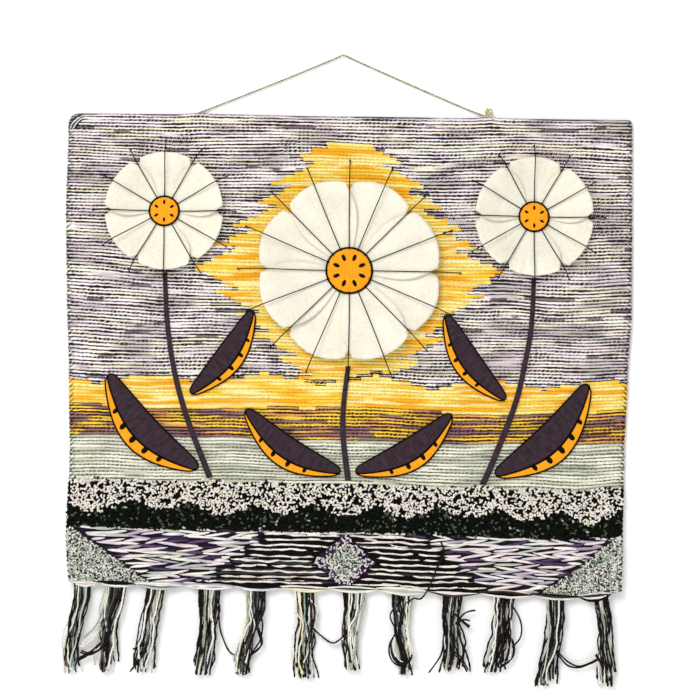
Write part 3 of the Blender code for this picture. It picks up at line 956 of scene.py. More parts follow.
def add_piles():
    """Loop pile: cream and black above green in the band; speckled and finer in corners and lozenge."""
    loop = make_loop()
    piles = {name: Skein(name, [plied_yarn(colour) for colour in colours]) for name, colours in PILES.items()}
    rng = Random(17)
    for fine in (1.0, FINE):
        pitch = LOOP_PITCH * fine
        for row in range(ceil((HEIGHT - PILE_TOP) / (pitch * sqrt(3) / 2))):
            for column in range(ceil(WIDTH / pitch)):
                a = -WIDTH / 2 + 0.0012 + (column + 0.5 * (row % 2)) * pitch + rng.uniform(-0.0007, 0.0007)
                d = PILE_TOP + 0.0014 + row * pitch * sqrt(3) / 2 + rng.uniform(-0.0007, 0.0007)
                turn, lean, grow = rng.uniform(0, pi), sin(rng.gauss(0, 0.22)), rng.uniform(0.85, 1.25) * fine
                chance, lift = rng.random(), rng.uniform(-0.0005, 0.0004)
                name = pile_at(a, d)
                if name is None or abs(a) > WIDTH / 2 - 0.0008 or d > FOOT - 0.001:
                    continue
                if (name == "speckled_pile") != (fine == FINE):
                    continue
                slot = pick(PILES[name].values(), chance)
                if list(PILES[name])[slot] in DARK_YARNS:
                    lift -= 0.0004
                banded = name in ("cream_pile", "green_pile") or in_corner(a, d) > 0
                top = PILED if banded else STITCHED + 0.0006
                base = np.array(on_cloth(a, d, top - (LOOP_HALF + LOOP_YARN) * fine + lift))
                c, s = cos(turn) * grow, sin(turn) * grow
                # the loop's own X and Y lie on the cloth, and its Z stands off it
                spread = np.array([[c, -s, lean * fine], [0, 0, -fine], [s, c, lean * 0.6 * fine]])
                piles[name].copy_in(loop, lambda points: points @ spread.T + base, slot)
    for pile in piles.values():
        dress(pile.finish(), "carried_yarn")


# ---------------------------------------------------------------- long stitches and couched rows


STITCH_LONG, STITCH_THICK = 0.0335, 0.0032
STITCH_STEP, STITCH_ROW = 0.0232, 0.0041  # from one to the next across, and down
STITCH_COLOURS = {
    "cream": 0.18,
    "pale_grey": 0.22,
    "pink": 0.15,
    "sage": 0.09,
    "blush": 0.07,
    "lavender": 0.15,
    "purple": 0.09,
    "violet": 0.05,
}


def make_stitch():
    """One long stitch: a soft lens of loosely twisted yarn along X, one unit long."""
    profile = (
        # share of its length from the middle, share of its thickness
        (-0.43, 0.38),
        (-0.33, 0.70),
        (-0.18, 0.94),
        (0.0, 1.0),
        (0.18, 0.90),
        (0.33, 0.72),
        (0.43, 0.42),
    )
    bpy.ops.mesh.primitive_cylinder_add(vertices=8, radius=0.5, depth=1, rotation=(0, pi / 2, 0))
    bpy.ops.object.transform_apply(location=False, rotation=True, scale=False)
    bpy.ops.object.mode_set(mode="EDIT")
    for x, _ in profile:
        bpy.ops.mesh.select_all(action="SELECT")
        bpy.ops.mesh.bisect(plane_co=(x, 0, 0), plane_no=(1, 0, 0))
    for x, share in (*profile, (-0.5, 0.08), (0.5, 0.08)):
        bpy.ops.object.mode_set(mode="OBJECT")
        mesh = bpy.context.object.data
        for group in (mesh.polygons, mesh.edges):
            group.foreach_set("select", [False] * len(group))
        for vert in mesh.vertices:
            vert.select = abs(vert.co.x - x) < 0.01
        bpy.ops.object.mode_set(mode="EDIT")
        bpy.ops.transform.resize(value=(1, share, share), center_override=(x, 0, 0))
    bpy.ops.object.mode_set(mode="OBJECT")
    return take_shape(0.5)


BLOCK_STEPS, BLOCK_STEP = 5, 0.0125  # of the stepped block of couched rows: how many, and how high
BLOCK_HALF, BLOCK_STEP_IN = 0.158, 0.016  # half its width at the foot, and how far each step goes in
BLOCK_RISE = 0.0615  # how far up from the foot its rows go


def block_half(d):
    """Half the width of the stepped block of couched rows at d, or 0 above it."""
    step = int((HEIGHT - d) / BLOCK_STEP)
    return BLOCK_HALF - BLOCK_STEP_IN * step if step < BLOCK_STEPS else 0.0


def stitched_spans(d):
    """The stretches of a that long stitches fill at d, from the corner piles in to the block or lozenge."""
    outer = WIDTH / 2 - max(0.0022, CORNER_PILE[0] * (1 - (HEIGHT - d) / CORNER_PILE[1]))
    inner = max(block_half(d), LOZENGE_HALF_A * (1 - abs(d - LOZENGE_D) / LOZENGE_HALF_D))
    return [(-outer, -inner), (inner, outer)] if inner > 0 else [(-outer, outer)]


def add_stitches():
    """Long slanting stitches in staggered rows over the lower border, shortened to fit at its edges."""
    stitch = make_stitch()
    stitches = Skein("long_stitches", [loose_yarn(colour) for colour in STITCH_COLOURS])
    rng = Random(29)
    for row in range(int((FOOT - PILE_FOOT - 0.002) / STITCH_ROW) + 1):
        level = PILE_FOOT + 0.0014 + row * STITCH_ROW
        lean = radians(5.5) if row % 2 else -radians(4)
        for low, high in stitched_spans(level):
            start = low - rng.uniform(0, 0.8) * STITCH_STEP
            while start < high - 0.003:
                first = max(start, low - 0.001)
                last = min(start + STITCH_LONG * rng.uniform(0.80, 1.22), high + 0.001)
                start += STITCH_STEP * rng.uniform(0.88, 1.10)
                long = last - first
                d = min(FOOT - 0.0012, level + rng.uniform(-0.0006, 0.0006))
                thick = STITCH_THICK * rng.uniform(0.72, 1.15) * min(1.0, 0.5 + long / 0.03)
                turn = lean * min(1.0, long / 0.02) + rng.gauss(0, radians(3.4))
                bend, slot = rng.uniform(-0.0012, 0.0012), pick(STITCH_COLOURS.values(), rng.random())
                if long < 0.005:
                    continue
                centre = np.array(on_cloth((first + last) / 2, d, STITCHED - thick * 0.26))

                def place(points):
                    x = points[:, 0] * long
                    y = points[:, 1] * thick + bend * (1 - 4 * points[:, 0] ** 2)
                    z = points[:, 2] * thick * 0.80 - 0.0016 * (2 * points[:, 0]) ** 2
                    across, up = x * cos(turn) - y * sin(turn), x * sin(turn) + y * cos(turn)
                    return np.stack([across, -z, up], axis=1) + centre

                stitches.copy_in(stitch, place, slot)
    dress(stitches.finish(), "carried_yarn")


TIE_PITCH = 0.0175
TIE = ((0.0004, -0.0009), (-0.0009, 0.0001), (0.0004, 0.0016))  # y and z of a tie's points, over the yarn
BLACK_ROW, CREAM_ROW = 0.0034, 0.0024  # how far down each takes


def couched_spans(d, spare):
    """The stretches of a that a couched row crosses at d, each end moved in by a spare."""
    half = block_half(d) - spare
    notch = LOZENGE_HALF_A * (1 - abs(d - LOZENGE_D) / LOZENGE_HALF_D)
    return [(-half, -notch), (notch, half)] if notch > 0 else [(-half, half)]


def couched_path(low, high, d, radius, sway, lap):
    """The way of one couched yarn from low to high. It dips at its ends, and sways beside its row."""
    path = []
    for a in steps(low, high, max(5, round((high - low) / 0.0026))):
        stray = sway * (drift(a * 90, lap, 0) + 1.5 * drift(a * 28, lap, 8))
        stray += 0.0022 * drift(a * 7, d * 9, 4)
        end = 0.0012 * (ease(1 - (a - low) / 0.005) + ease(1 - (high - a) / 0.005))
        path.append(on_cloth(a, min(FOOT - 0.0008, d + stray), STITCHED - radius * 0.5 - end))
    return path


def add_couching():
    """Yarns laid across the stepped block: black pairs, and wavy cream ones tied down with dark nubs."""
    colours = ("black", "charcoal", "cream", "blush")
    couching = Skein("couched_rows", [loose_yarn(colour) for colour in colours])
    rng = Random(43)
    d = FOOT - 0.0020
    row = 0

    def lay(low, high, at, radius, sway, slot):
        if high - low < 0.012:
            return
        path = couched_path(low, high, at, radius, sway, rng.uniform(0, 90))
        lap = rng.uniform(0, 90)

        def girth(share):
            lump = drift(share * (high - low) * 90, lap, 2)
            return radius * min(1.0, 0.30 + 14 * min(share, 1 - share)) * (1 + 0.60 * lump)

        couching.strand(path, girth, slot, sides=7, flatness=0.75)
        if slot < 2:  # the dark yarns show no ties
            return
        shift = rng.uniform(0, TIE_PITCH)
        for point, after in zip(path, path[1:]):
            if int((point.x + 1 + shift) / TIE_PITCH) < int((after.x + 1 + shift) / TIE_PITCH):
                nub = [point + Vector((0, y, z)) for y, z in TIE]
                couching.strand(nub, 0.00042, sides=5)

    while d > HEIGHT - BLOCK_RISE:
        black = row % 2 == 0
        for low, high in couched_spans(d, rng.uniform(-0.001, 0.002)):
            if black:
                for side in (-1, 1):
                    lay(low, high, d + side * 0.0009, 0.00120, 0.0004, 0 if rng.random() < 0.8 else 1)
                continue
            slot = 2 if rng.random() < 0.75 else 3
            lay(low + rng.uniform(0, 0.007), high - rng.uniform(0, 0.007), d, 0.00128, 0.0014, slot)
            if rng.random() < 0.55:  # a second yarn beside it for part of the way
                first = rng.uniform(low, (low + high) / 2)
                last = first + rng.uniform(0.3, 0.6) * (high - low)
                lay(max(low, first), min(high, last), d - 0.0018, 0.00085, 0.0014, slot)
        d -= BLACK_ROW if black else CREAM_ROW
        row += 1
    dress(couching.finish(), "carried_yarn")


# ---------------------------------------------------------------- lower edge and tassels


def wrap_bays():
    """The stretches of x over which the carried yarn hangs in one loop, a tassel under each."""
    tops = [row[0] for row in TASSELS]
    middles = [(left + right) / 2 for left, right in zip(tops, tops[1:])]
    bounds = [WRAP_START, *middles, WRAP_END]
    return list(zip(bounds, bounds[1:]))


def edge_point(x, below, out):
    """A point below the weave's lower edge at x."""
    return on_cloth(across_at(x, 1.0), FOOT, out) + Vector((0, 0, -below))


BAYS = (
    # how slack it hangs; colours of the lowest strand, of two within it and of the one above
    (0.95, "cream", "sage", "cream", "sage"),
    (0.95, "cream", "black", "black", "black"),
    (1.05, "sage", "charcoal", "pale_grey", "pale_grey"),
    (0.95, "pale_grey", "charcoal", "pale_grey", "lavender"),
    (0.95, "pale_grey", "black", "black", "black"),
    (1.00, "yellow", "cream", "grey", "cream"),
    (1.05, "cream", "sage", "charcoal", "cream"),
    (1.35, "cream", "sage", "sage", "cream"),
    (0.95, "charcoal", "cream", "cream", "black"),
    (1.05, "cream", "black", "black", "charcoal"),
    (0.80, "cream", "black", "charcoal", "black"),
    (1.60, "black", "cream", "charcoal", "pale_grey"),
)
WRAP_SAG = 0.0038
WRAP_STRANDS = (
    # which of the bay's colours, share of the sag, how far out or 0 for in front of the panel, radius
    (0, 1.06, 0.0068, 0.00150),
    (1, 0.58, 0.0062, 0.00165),
    (2, 0.12, 0.0068, 0.00160),
    (3, -0.26, 0.0, 0.00130),
    (2, -0.06, 0.0, 0.00110),
    (1, 0.80, 0.0028, 0.00150),
    (0, 0.35, 0.0024, 0.00150),
)
WRAP_TUCK = 0.0018  # how far up over the panel's edge the strands ride


def add_wraps():
    """Yarn carried along the lower edge: a few strands to a bay, in a flat lens that laps over the next."""
    colours = sorted({colour for bay in BAYS for colour in bay[1:]})
    wraps = Skein("carried_strands", [loose_yarn(colour) for colour in colours])
    rng = Random(71)
    for (left, right), (slack, *bay) in zip(wrap_bays(), BAYS):
        for which, level, out, radius in WRAP_STRANDS:
            drop, fat, lap = slack * rng.uniform(0.88, 1.08), rng.uniform(0.88, 1.12), rng.uniform(0, 90)
            path = []
            for share in steps(0, 1, 20):
                x = left - 0.0010 + (right - left + 0.0020) * share
                sag = max(0.0, sin(pi * share)) ** 0.8
                below = WRAP_SAG * level * drop * sag + 0.0010 + 0.0012 * (share - 0.5) - WRAP_TUCK
                below += 0.0007 * drift(share * 5, lap, 0) * sag
                front = out * (0.70 + 0.30 * sag) or thickness(across_at(x, 1.0), HEIGHT) + 0.0003
                path.append(edge_point(x, below, front))

            def girth(share):
                return radius * fat * (0.40 + 0.60 * max(0.0, sin(pi * min(1.0, max(0.0, share)))) ** 0.6)

            wraps.strand(path, girth, colours.index(bay[which]), sides=8)
    dress(wraps.finish(), "carried_yarn", "edge_wraps")


def add_corner_turns():
    """Strands laid round the upper left corner."""
    colours = ("charcoal", "pale_grey", "charcoal", "pale_grey", "black")
    turns = Skein("corner_turns", [loose_yarn(colour) for colour in colours])
    for slot in range(len(colours)):
        path = []
        for share in steps(0, 1, 14):
            inset = 0.0002 + 0.0016 * slot + 0.0012 * drift(share * 3, slot * 7.3, 0)
            reach = 0.0165 - 0.0012 * slot
            a = -WIDTH / 2 + inset + reach * (1 - sin(pi / 2 * share) ** 1.3)
            d = inset + reach * (1 - cos(pi / 2 * share) ** 1.3)
            path.append(on_cloth(a, d, WEAVE - 0.0008 + 0.0012 * sin(pi * share)))
        turns.strand(path, lambda share: 0.0009 * (0.35 + 0.65 * sin(pi * min(1, share)) ** 0.5), slot)
    dress(turns.finish(), "carried_yarn")


TASSEL_YARNS = {"k": "soot", "g": "grey", "c": "cream", "s": "sage", "p": "pale_green", "y": "yellow"}
BUNCHES = (
    # the yarns of a bunch from left to right, a letter for each strand
    "kckkyckkgkkpkppskckckk",
    "sykckgkgkkgkkgkkkckkck",
    "kkgkkckkgkkckskcsgkskc",
    "kkgkckskcykckskcggkgkk",
    "pyykycckgkkgkgkkgkkgkk",
    "ckyckykkkppkskckckgkkc",
    "kkgkkckkckkckskcksckps",
    "kkkgkkgkkskckskckcskcs",
    "kkkkgkkckcsgkkckskkckk",
    "ckckkcskkkkgkkkkkkckkk",
    "skckgkckkskckgkckkkkkk",
    "kckkckskccskkckkgskkkk",
)
STRAND = 0.00116  # a tassel strand's radius


def tassel_strand(rng, number, across, forward):
    """The way of one strand. across and forward, from -1 to 1, say where in its bunch it starts."""
    top_x, top_half, foot_x, foot_half, foot_z = TASSELS[number - 1]
    top = edge_point(top_x + top_half * 0.90 * across, WRAP_SAG * 0.60 - WRAP_TUCK, 0.0)
    swap = across * 0.75 + rng.uniform(-0.42, 0.42)
    short, flare = rng.random() ** 2 * 0.016, rng.gauss(0, 0.0022)
    lap, sway, kink = rng.uniform(0, 50), rng.uniform(0.002, 0.008), rng.uniform(0.0008, 0.0024)
    points = []
    for share in steps(0, 1, 32):
        half = top_half + (foot_half - top_half) * ease(share)
        half *= 1 - 0.10 * sin(pi * min(1, share * 1.1))
        lie = across + (swap - across) * ease(share * 1.1)
        x = top_x + (foot_x - top_x) * ease(share) + 0.0016 * sin(tau * share + number)
        x += half * 0.94 * lie + flare * ease((share - 0.62) / 0.38)
        x += sway * drift(share * 2.6, lap, 0) * ease(share * 2.5)
        x += kink * drift(share * 9, lap, 5) * ease(share * 4)
        depth = TASSEL_HALF_DEPTH * (0.40 + 0.50 * ease(share * 3))
        lift = 0.0022 * drift(share * 3.5, lap, 7)
        y = top.y * (1 - share) - 0.0042 - 0.0026 * ease(share * 3)
        y += depth * 0.85 * forward + lift * ease(share * 4)
        z = top.z + (foot_z + short - top.z) * share
        points.append((x, min(-STRAND - 0.0004, y), z))
    return points


STRAYS = (
    # tassel, its yarn's letter, how many, how far off the wall, then x and z of each point
    (2, "c", 2, 0.010, ((-0.2560, -0.605), (-0.2620, -0.622), (-0.2760, -0.6330), (-0.2850, -0.6400))),
    (2, "k", 3, 0.011, ((-0.2500, -0.612), (-0.2600, -0.634), (-0.2745, -0.6490), (-0.2870, -0.6560))),
    (2, "k", 2, 0.012, ((-0.2480, -0.618), (-0.2590, -0.640), (-0.2730, -0.6500), (-0.2850, -0.6480))),
    (2, "c", 2, 0.009, ((-0.2540, -0.603), (-0.2650, -0.626), (-0.2790, -0.6400), (-0.2880, -0.6430))),
    (2, "s", 2, 0.008, ((-0.2590, -0.594), (-0.2640, -0.610), (-0.2720, -0.6240), (-0.2820, -0.6330))),
    (3, "k", 1, 0.009, ((-0.2080, -0.632), (-0.2150, -0.640), (-0.2225, -0.6430), (-0.2290, -0.6460))),
    (3, "k", 2, 0.010, ((-0.2140, -0.640), (-0.2180, -0.652), (-0.2250, -0.6620), (-0.2310, -0.6690))),
    (4, "k", 1, 0.006, (
        (-0.1370, -0.600), (-0.1350, -0.622), (-0.1310, -0.636), (-0.1240, -0.6490), (-0.1150, -0.6535),
        (-0.1040, -0.6520),
    )),
    (5, "k", 2, 0.010, ((-0.0930, -0.622), (-0.0890, -0.640), (-0.0980, -0.6500), (-0.1080, -0.6560))),
    (5, "c", 1, 0.011, (
        (-0.1010, -0.597), (-0.0985, -0.608), (-0.0960, -0.6200), (-0.1000, -0.6380), (-0.1060, -0.6600),
    )),
    (6, "c", 2, 0.008, (
        (-0.0330, -0.618), (-0.0290, -0.627), (-0.0210, -0.6345), (-0.0120, -0.6375), (-0.0030, -0.6350),
        (0.0040, -0.6350),
    )),
    (6, "k", 1, 0.009, (
        (-0.0360, -0.619), (-0.0260, -0.6310), (-0.0140, -0.6395), (-0.0060, -0.6370), (0.0020, -0.6290),
    )),
    (6, "c", 1, 0.010, ((-0.0380, -0.590), (-0.0290, -0.600), (-0.0285, -0.6060), (-0.0320, -0.6090))),
    (6, "c", 1, 0.011, (
        (-0.0510, -0.596), (-0.0500, -0.608), (-0.0420, -0.6180), (-0.0400, -0.6300), (-0.0360, -0.6420),
        (-0.0430, -0.6600),
    )),
    (6, "k", 1, 0.007, ((-0.0480, -0.664), (-0.0430, -0.670), (-0.0370, -0.6730))),
    (8, "k", 1, 0.009, (
        (0.0600, -0.596), (0.0520, -0.606), (0.0510, -0.614), (0.0560, -0.6240), (0.0580, -0.6360),
    )),
    (8, "k", 3, 0.010, (
        (0.0570, -0.628), (0.0510, -0.640), (0.0530, -0.654), (0.0610, -0.6620), (0.0700, -0.6600),
    )),
    (8, "c", 1, 0.011, ((0.0560, -0.632), (0.0540, -0.646), (0.0600, -0.657), (0.0680, -0.6610))),
    (8, "c", 1, 0.011, (
        (0.0590, -0.606), (0.0640, -0.613), (0.0690, -0.620), (0.0700, -0.6320), (0.0680, -0.6460),
    )),
    (8, "k", 2, 0.012, ((0.0560, -0.655), (0.0620, -0.661), (0.0710, -0.6590), (0.0740, -0.6520))),
    (8, "k", 1, 0.0130, (
        (0.1050, -0.5290), (0.1085, -0.5370), (0.1065, -0.5470), (0.1010, -0.5580), (0.0965, -0.5690),
        (0.0915, -0.5810), (0.0840, -0.5905), (0.0760, -0.5905), (0.0690, -0.5950),
    )),
    (9, "k", 1, 0.009, ((0.1080, -0.640), (0.1060, -0.652), (0.0990, -0.663), (0.0925, -0.6715))),
    (9, "k", 2, 0.010, ((0.1120, -0.636), (0.1180, -0.648), (0.1270, -0.656), (0.1350, -0.6690))),
    (9, "k", 1, 0.010, ((0.1220, -0.618), (0.1300, -0.608), (0.1370, -0.6045), (0.1430, -0.6040))),
    (9, "k", 1, 0.011, ((0.1210, -0.619), (0.1300, -0.6140), (0.1370, -0.6150))),
    (9, "k", 2, 0.009, ((0.1210, -0.608), (0.1300, -0.6165), (0.1365, -0.6220))),
    (10, "k", 1, 0.008, (
        (0.1780, -0.594), (0.1890, -0.608), (0.1935, -0.622), (0.1910, -0.6350), (0.1830, -0.6440),
    )),
    (10, "k", 2, 0.009, (
        (0.1740, -0.624), (0.1840, -0.638), (0.1850, -0.650), (0.1800, -0.6590), (0.1700, -0.6650),
    )),
    (10, "k", 1, 0.010, ((0.1740, -0.626), (0.1680, -0.640), (0.1620, -0.654), (0.1540, -0.6670))),
    (11, "k", 2, 0.008, (
        (0.2250, -0.640), (0.2340, -0.652), (0.2440, -0.6620), (0.2560, -0.6650), (0.2690, -0.6610),
        (0.2800, -0.6550),
    )),
    (11, "c", 1, 0.007, (
        (0.2280, -0.642), (0.2350, -0.6470), (0.2450, -0.6560), (0.2570, -0.6585), (0.2700, -0.6540),
        (0.2790, -0.6480),
    )),
    (12, "k", 2, 0.009, ((0.2740, -0.652), (0.2790, -0.660), (0.2830, -0.6700), (0.2850, -0.6820))),
)
STRAY_SPREAD = 0.0019  # from one strand of a stray group to the next


def add_tassels():
    """Twelve loose bunches of two-ply yarn, with the strands that stray from them or cross to the next."""
    yarns = list(TASSEL_YARNS)
    finishes = [plied_yarn(colour) for colour in TASSEL_YARNS.values()]
    for number, bunch in enumerate(BUNCHES, 1):
        rng = Random(100 + number)
        tassel = Skein(f"tassel_{number:02d}_strands", finishes)
        for k, letter in enumerate(bunch):
            across = -1 + 2 * (k + 0.5) / len(bunch) + rng.uniform(-0.06, 0.06)
            forward = ((k * 7) % 5 / 4 - 0.5) * 1.5 + rng.uniform(-0.15, 0.15)
            if letter not in "kg":
                forward -= 0.10
            path = tassel_strand(rng, number, across, max(-1, min(1, forward)))
            radius, knotted = STRAND * rng.uniform(0.80, 1.10), rng.random() < 0.35

            def girth(share):
                bulge = 0.75 * max(0.0, 1 - abs(share - 0.965) / 0.022) if knotted else 0.0
                return radius * (1 + bulge)

            tassel.strand(path, girth, yarns.index(letter), sides=7, lobe=0.15)
        for owner, letter, copies, off, way in STRAYS:
            if owner != number:
                continue
            for copy in range(copies):
                side = (copy - (copies - 1) / 2) * STRAY_SPREAD
                spread = []
                for x, z in way:
                    jitter = rng.uniform(-0.0006, 0.0006)
                    spread.append((x + side * 0.6 + jitter, -off - 0.3 * side, z + side + jitter))
                tassel.strand(smooth_route(spread, 0.0022), STRAND * 0.90, yarns.index(letter), lobe=0.12)
        dress(tassel.finish(), "tassel_yarn", f"tassel_{number:02d}")


# ---------------------------------------------------------------- flowers


def petal_out(radius, rise, rho, upper, edge):
    """How far a petal's back is in front of the panel's. rho is the distance from the flower's middle."""
    free = rise * ease((rho / radius - 0.45) / 0.55)
    if not upper:
        return WEAVE + GAP + free
    spread = 0.0010 * ease((rho / radius - 0.30) / 0.20)
    return WEAVE + GAP + CLOTH + LAYER_GAP + spread + 1.2 * free + 0.0016 * edge


def add_petal(name, a, d, radius, petals, rise, index, canvas):
    """One petal of canvas, sewn at its root, its free tip creased and curling off the ground."""
    root = PETAL_ROOT * radius
    widest = 0.92 * sin(pi / petals)
    upper = index % 2
    turn = tau * (index + 0.5) / petals
    rng = Random(f"{name}{index}")
    lap = rng.uniform(0, 50)
    creases = [(rng.uniform(-0.8, 0.8), rng.uniform(0.06, 0.20), rng.uniform(0.25, 0.9)) for _ in range(4)]

    def surface(extra):
        def point(side, share):
            r = root + share * (radius * (1 - 0.10 * side * side) - root)
            swell = sin(pi / 2 * min(1.0, share / 0.75)) * (1 - 0.12 * share**3)
            half = radius * (PETAL_ROOT_HALF + (widest - PETAL_ROOT_HALF) * swell)
            w = side * half
            rho = hypot(r, w)
            out = petal_out(radius, rise, rho, upper, side * side * share)
            free = ease((share - 0.30) / 0.5)
            billow = 0.0016 * free * drift(w * 26, r * 26, lap)
            for middle, wide, far in creases:
                fold = ease(1 - abs(side - middle * (0.4 + 0.6 * share)) / wide)
                billow += 0.0011 * fold * ease(share / far) * free
            billow += 0.0012 * free * side * side * (1 + drift(share * 5, side * 2, lap))
            out += max(0.0, billow + 0.0004 * free)
            frayed = ease((max(abs(side), share) - 0.93) / 0.07)
            ragged = 0.0006 * drift(w * 300, r * 300, lap) * frayed
            at_a = a + (r + ragged) * cos(turn) - w * sin(turn)
            at_d = d + (r + ragged) * sin(turn) + w * cos(turn)
            return on_cloth(at_a, at_d, out + extra), (w, r)

        return point

    title = f"{name}_petal_{index + 1}"
    petal = add_sheet(title, steps(-1, 1, 22), steps(0, 1, 26), surface(CLOTH), surface(0.0), canvas)
    dress(petal, "cream_canvas", f"flower_{title}")
    long, wide = radius - root, 2 * widest * radius
    0.72 * wide * long


def seed_girth(share, widest):
    """A seed's radius at a share of its length."""
    return widest * (0.45 + 0.55 * sin(pi * min(1, share)))


def add_centre(name, a, d, radius, petals, rise, gold):
    """The padded gold centre, satin-stitched, with a cord around it and dark seeds in a ring."""
    back = petal_out(radius, rise, 0.0, True, 0.0) + CLOTH + 2 * GAP
    size = CENTRE * radius
    rings, around = 12, 48
    crown = [(1.0, 0.0)]
    for k in range(1, rings):
        angle = pi / 2 * k / rings
        crown.append((cos(angle) ** 0.62, sin(angle) ** 0.8))
    points, faces, flats = [], [], []
    for share, out in crown:
        for k in range(around):
            angle = tau * k / around
            puff = 1 + 0.03 * sin(angle * 24) * share
            flat = (size * share * cos(angle), size * share * sin(angle))
            points.append(on_cloth(a + flat[0], d + flat[1], back + CENTRE_THICK * out * puff))
            flats.append(flat)
    for ring in range(rings - 1):
        for k in range(around):
            n = (k + 1) % around
            low, high = ring * around, (ring + 1) * around
            faces.append((low + k, low + n, high + n, high + k))
    faces.append(tuple(reversed(range(around))))
    faces.append(tuple((rings - 1) * around + k for k in range(around)))
    uvs = [flats[k] for face in faces for k in face]
    centre = add_mesh(f"{name}_centre_pad", points, faces, [gold], None, uvs)
    turn_outward(centre)
    dress(centre, "golden_felt", f"flower_{name}_centre")

    trim = Skein(f"{name}_centre_trim", [loose_yarn("black")])
    ring = []
    for angle in steps(0, tau, 60):
        ring.append(on_cloth(a + size * 1.03 * cos(angle), d + size * 1.03 * sin(angle), back + 0.0008))
    trim.strand(ring, 0.0011)
    seeds = max(6, petals)
    for k in range(seeds):
        angle = tau * (k + 0.5) / seeds
        r = size * 0.62
        middle = on_cloth(a + r * cos(angle), d + r * sin(angle), back + CENTRE_THICK * 0.93)
        reach = Vector((cos(angle), 0, -sin(angle))) * size * 0.15
        raised = Vector((0, -0.0003, 0))
        seed = [middle - reach, middle - reach * 0.4 + raised, middle + reach * 0.4 + raised, middle + reach]
        trim.strand(seed, lambda share: seed_girth(share, size * 0.09), sides=8, flatness=0.5)
    dress(trim.finish(), "dark_felt")


def turn_outward(piece):
    """Makes a closed piece's faces point outwards."""
    bpy.ops.object.select_all(action="DESELECT")
    bpy.context.view_layer.objects.active = piece
    piece.select_set(True)
    bpy.ops.object.mode_set(mode="EDIT")
    bpy.ops.mesh.select_all(action="SELECT")
    bpy.ops.mesh.normals_make_consistent(inside=False)
    bpy.ops.object.mode_set(mode="OBJECT")
    piece.select_set(False)


# ---------------------------------------------------------------- stems and leaves


def line_place(base, tip, bow, share, off):
    """(a, d) of a place off a bowed line from base to tip, at a share of its length."""
    (base_a, base_d), (tip_a, tip_d) = base, tip
    length = hypot(tip_a - base_a, tip_d - base_d)
    over_a, over_d = (tip_d - base_d) / length, (base_a - tip_a) / length
    off += bow * sin(pi * share)
    return base_a + (tip_a - base_a) * share + over_a * off, base_d + (tip_d - base_d) * share + over_d * off


def add_strip(name, line, bounds, thick, cells, material):
    """A pad along a bowed line. bounds gives its two edges, off that line, at a share of the length."""
    length = dist(*line[:2])
    lap = Random(name).uniform(0, 50)

    def surface(front):
        def point(share, side):
            low, high = bounds(share)
            off = low + (high - low) * side
            crown = 0.72 + 0.28 * sin(pi * side) ** 0.8 if 0 < side < 1 else 0.72
            crown += 0.05 * drift(share * 22, side * 3, lap)
            edge = 0.55 if side in (0, 1) or share in (0, 1) else 1.0
            out = WEAVE + GAP + (thick * crown * edge if front else 0.0)
            flat = (share * length, off + line[2] * sin(pi * share))
            return on_cloth(*line_place(*line, share, off), out), flat

        return point

    across = [0, 0.05, *steps(0.14, 0.86, cells[1]), 0.95, 1]
    strip = add_sheet(name, steps(0, 1, cells[0]), across, surface(True), surface(False), material)
    turn_outward(strip)
    return strip


def add_stem(name, top_a, top_d, foot_a, foot_d, bow, dark):
    """A slim stitched pad from under a flower down to the pile."""

    def bounds(share):
        half = STEM_WIDTH / 2 * (1 - 0.25 * share)
        return -half, half

    line = ((foot_a, foot_d), (top_a, top_d), bow)
    stem = add_strip(f"{name}_stem_pad", line, bounds, STEM_THICK, (40, 4), dark)
    dress(stem, "dark_felt", f"stem_{name}")


def leaf_half(share, width):
    """Half a leaf's width at a share of its length, rounded off at both ends."""
    blunt = min(1.0, share / 0.05, (1 - share) / 0.05)
    return 0.5 * width * sin(pi * (0.05 + 0.90 * share)) ** 0.8 * max(0.12, sqrt(blunt * (2 - blunt)))


def add_leaf(name, base_a, base_d, tip_a, tip_d, bow, width, dark, gold):
    """A leaf of two pads, a dark blade and a gold lower edge with seeds, both corded round."""
    way = 1 if bow > 0 else -1
    line = ((base_a, base_d), (tip_a, tip_d), bow)

    def sides(low, high):
        return (low, high) if way > 0 else (-high, -low)

    def blade(share):
        half = leaf_half(share, width)
        return sides(-half, half * (1 - 2 * EDGE_SHARE))

    def edge(share):
        half = leaf_half(share, width)
        return sides(half * (1 - 2 * EDGE_SHARE) + 1.5 * GAP, half)

    pads = (
        ("blade", blade, BLADE_THICK, 10, dark, "dark_felt"),
        ("edge", edge, EDGE_THICK, 5, gold, "golden_felt"),
    )
    for part, bounds, thick, cells, material, slot in pads:
        pad = add_strip(f"{name}_leaf_{part}_pad", line, bounds, thick, (44, cells), material)
        dress(pad, slot, f"leaf_{name}_{part}")

    trim = Skein(f"{name}_leaf_trim", [loose_yarn("black")])
    for bounds in (blade, edge):
        for which in (0, 1):
            path = []
            for share in steps(0, 1, 40):
                place = line_place(*line, share, bounds(share)[which])
                path.append(on_cloth(*place, WEAVE + GAP + 0.0016))
            trim.strand(path, 0.00095)
    count = int(hypot(tip_a - base_a, tip_d - base_d) * 0.72 / 0.020)
    for k in range(count):
        share = 0.20 + 0.62 * (k + 0.5) / count
        inner, outer = edge(share)[::way]
        points = []
        for t in (0.0, 0.2, 0.4, 0.56, 0.66):
            place = line_place(*line, share, inner + (outer - inner) * t)
            points.append(on_cloth(*place, WEAVE + GAP + EDGE_THICK * (0.70 + 0.34 * sin(pi * t))))
        seed = 0.25 * abs(outer - inner)

        def girth(share):
            return seed * sqrt(max(0.04, 1 - max(0, share / 0.5 - 1) ** 2))

        trim.strand(points, girth, sides=10, flatness=0.35)
    dress(trim.finish(), "dark_felt")


# ---------------------------------------------------------------- threads


THREAD = 0.00062


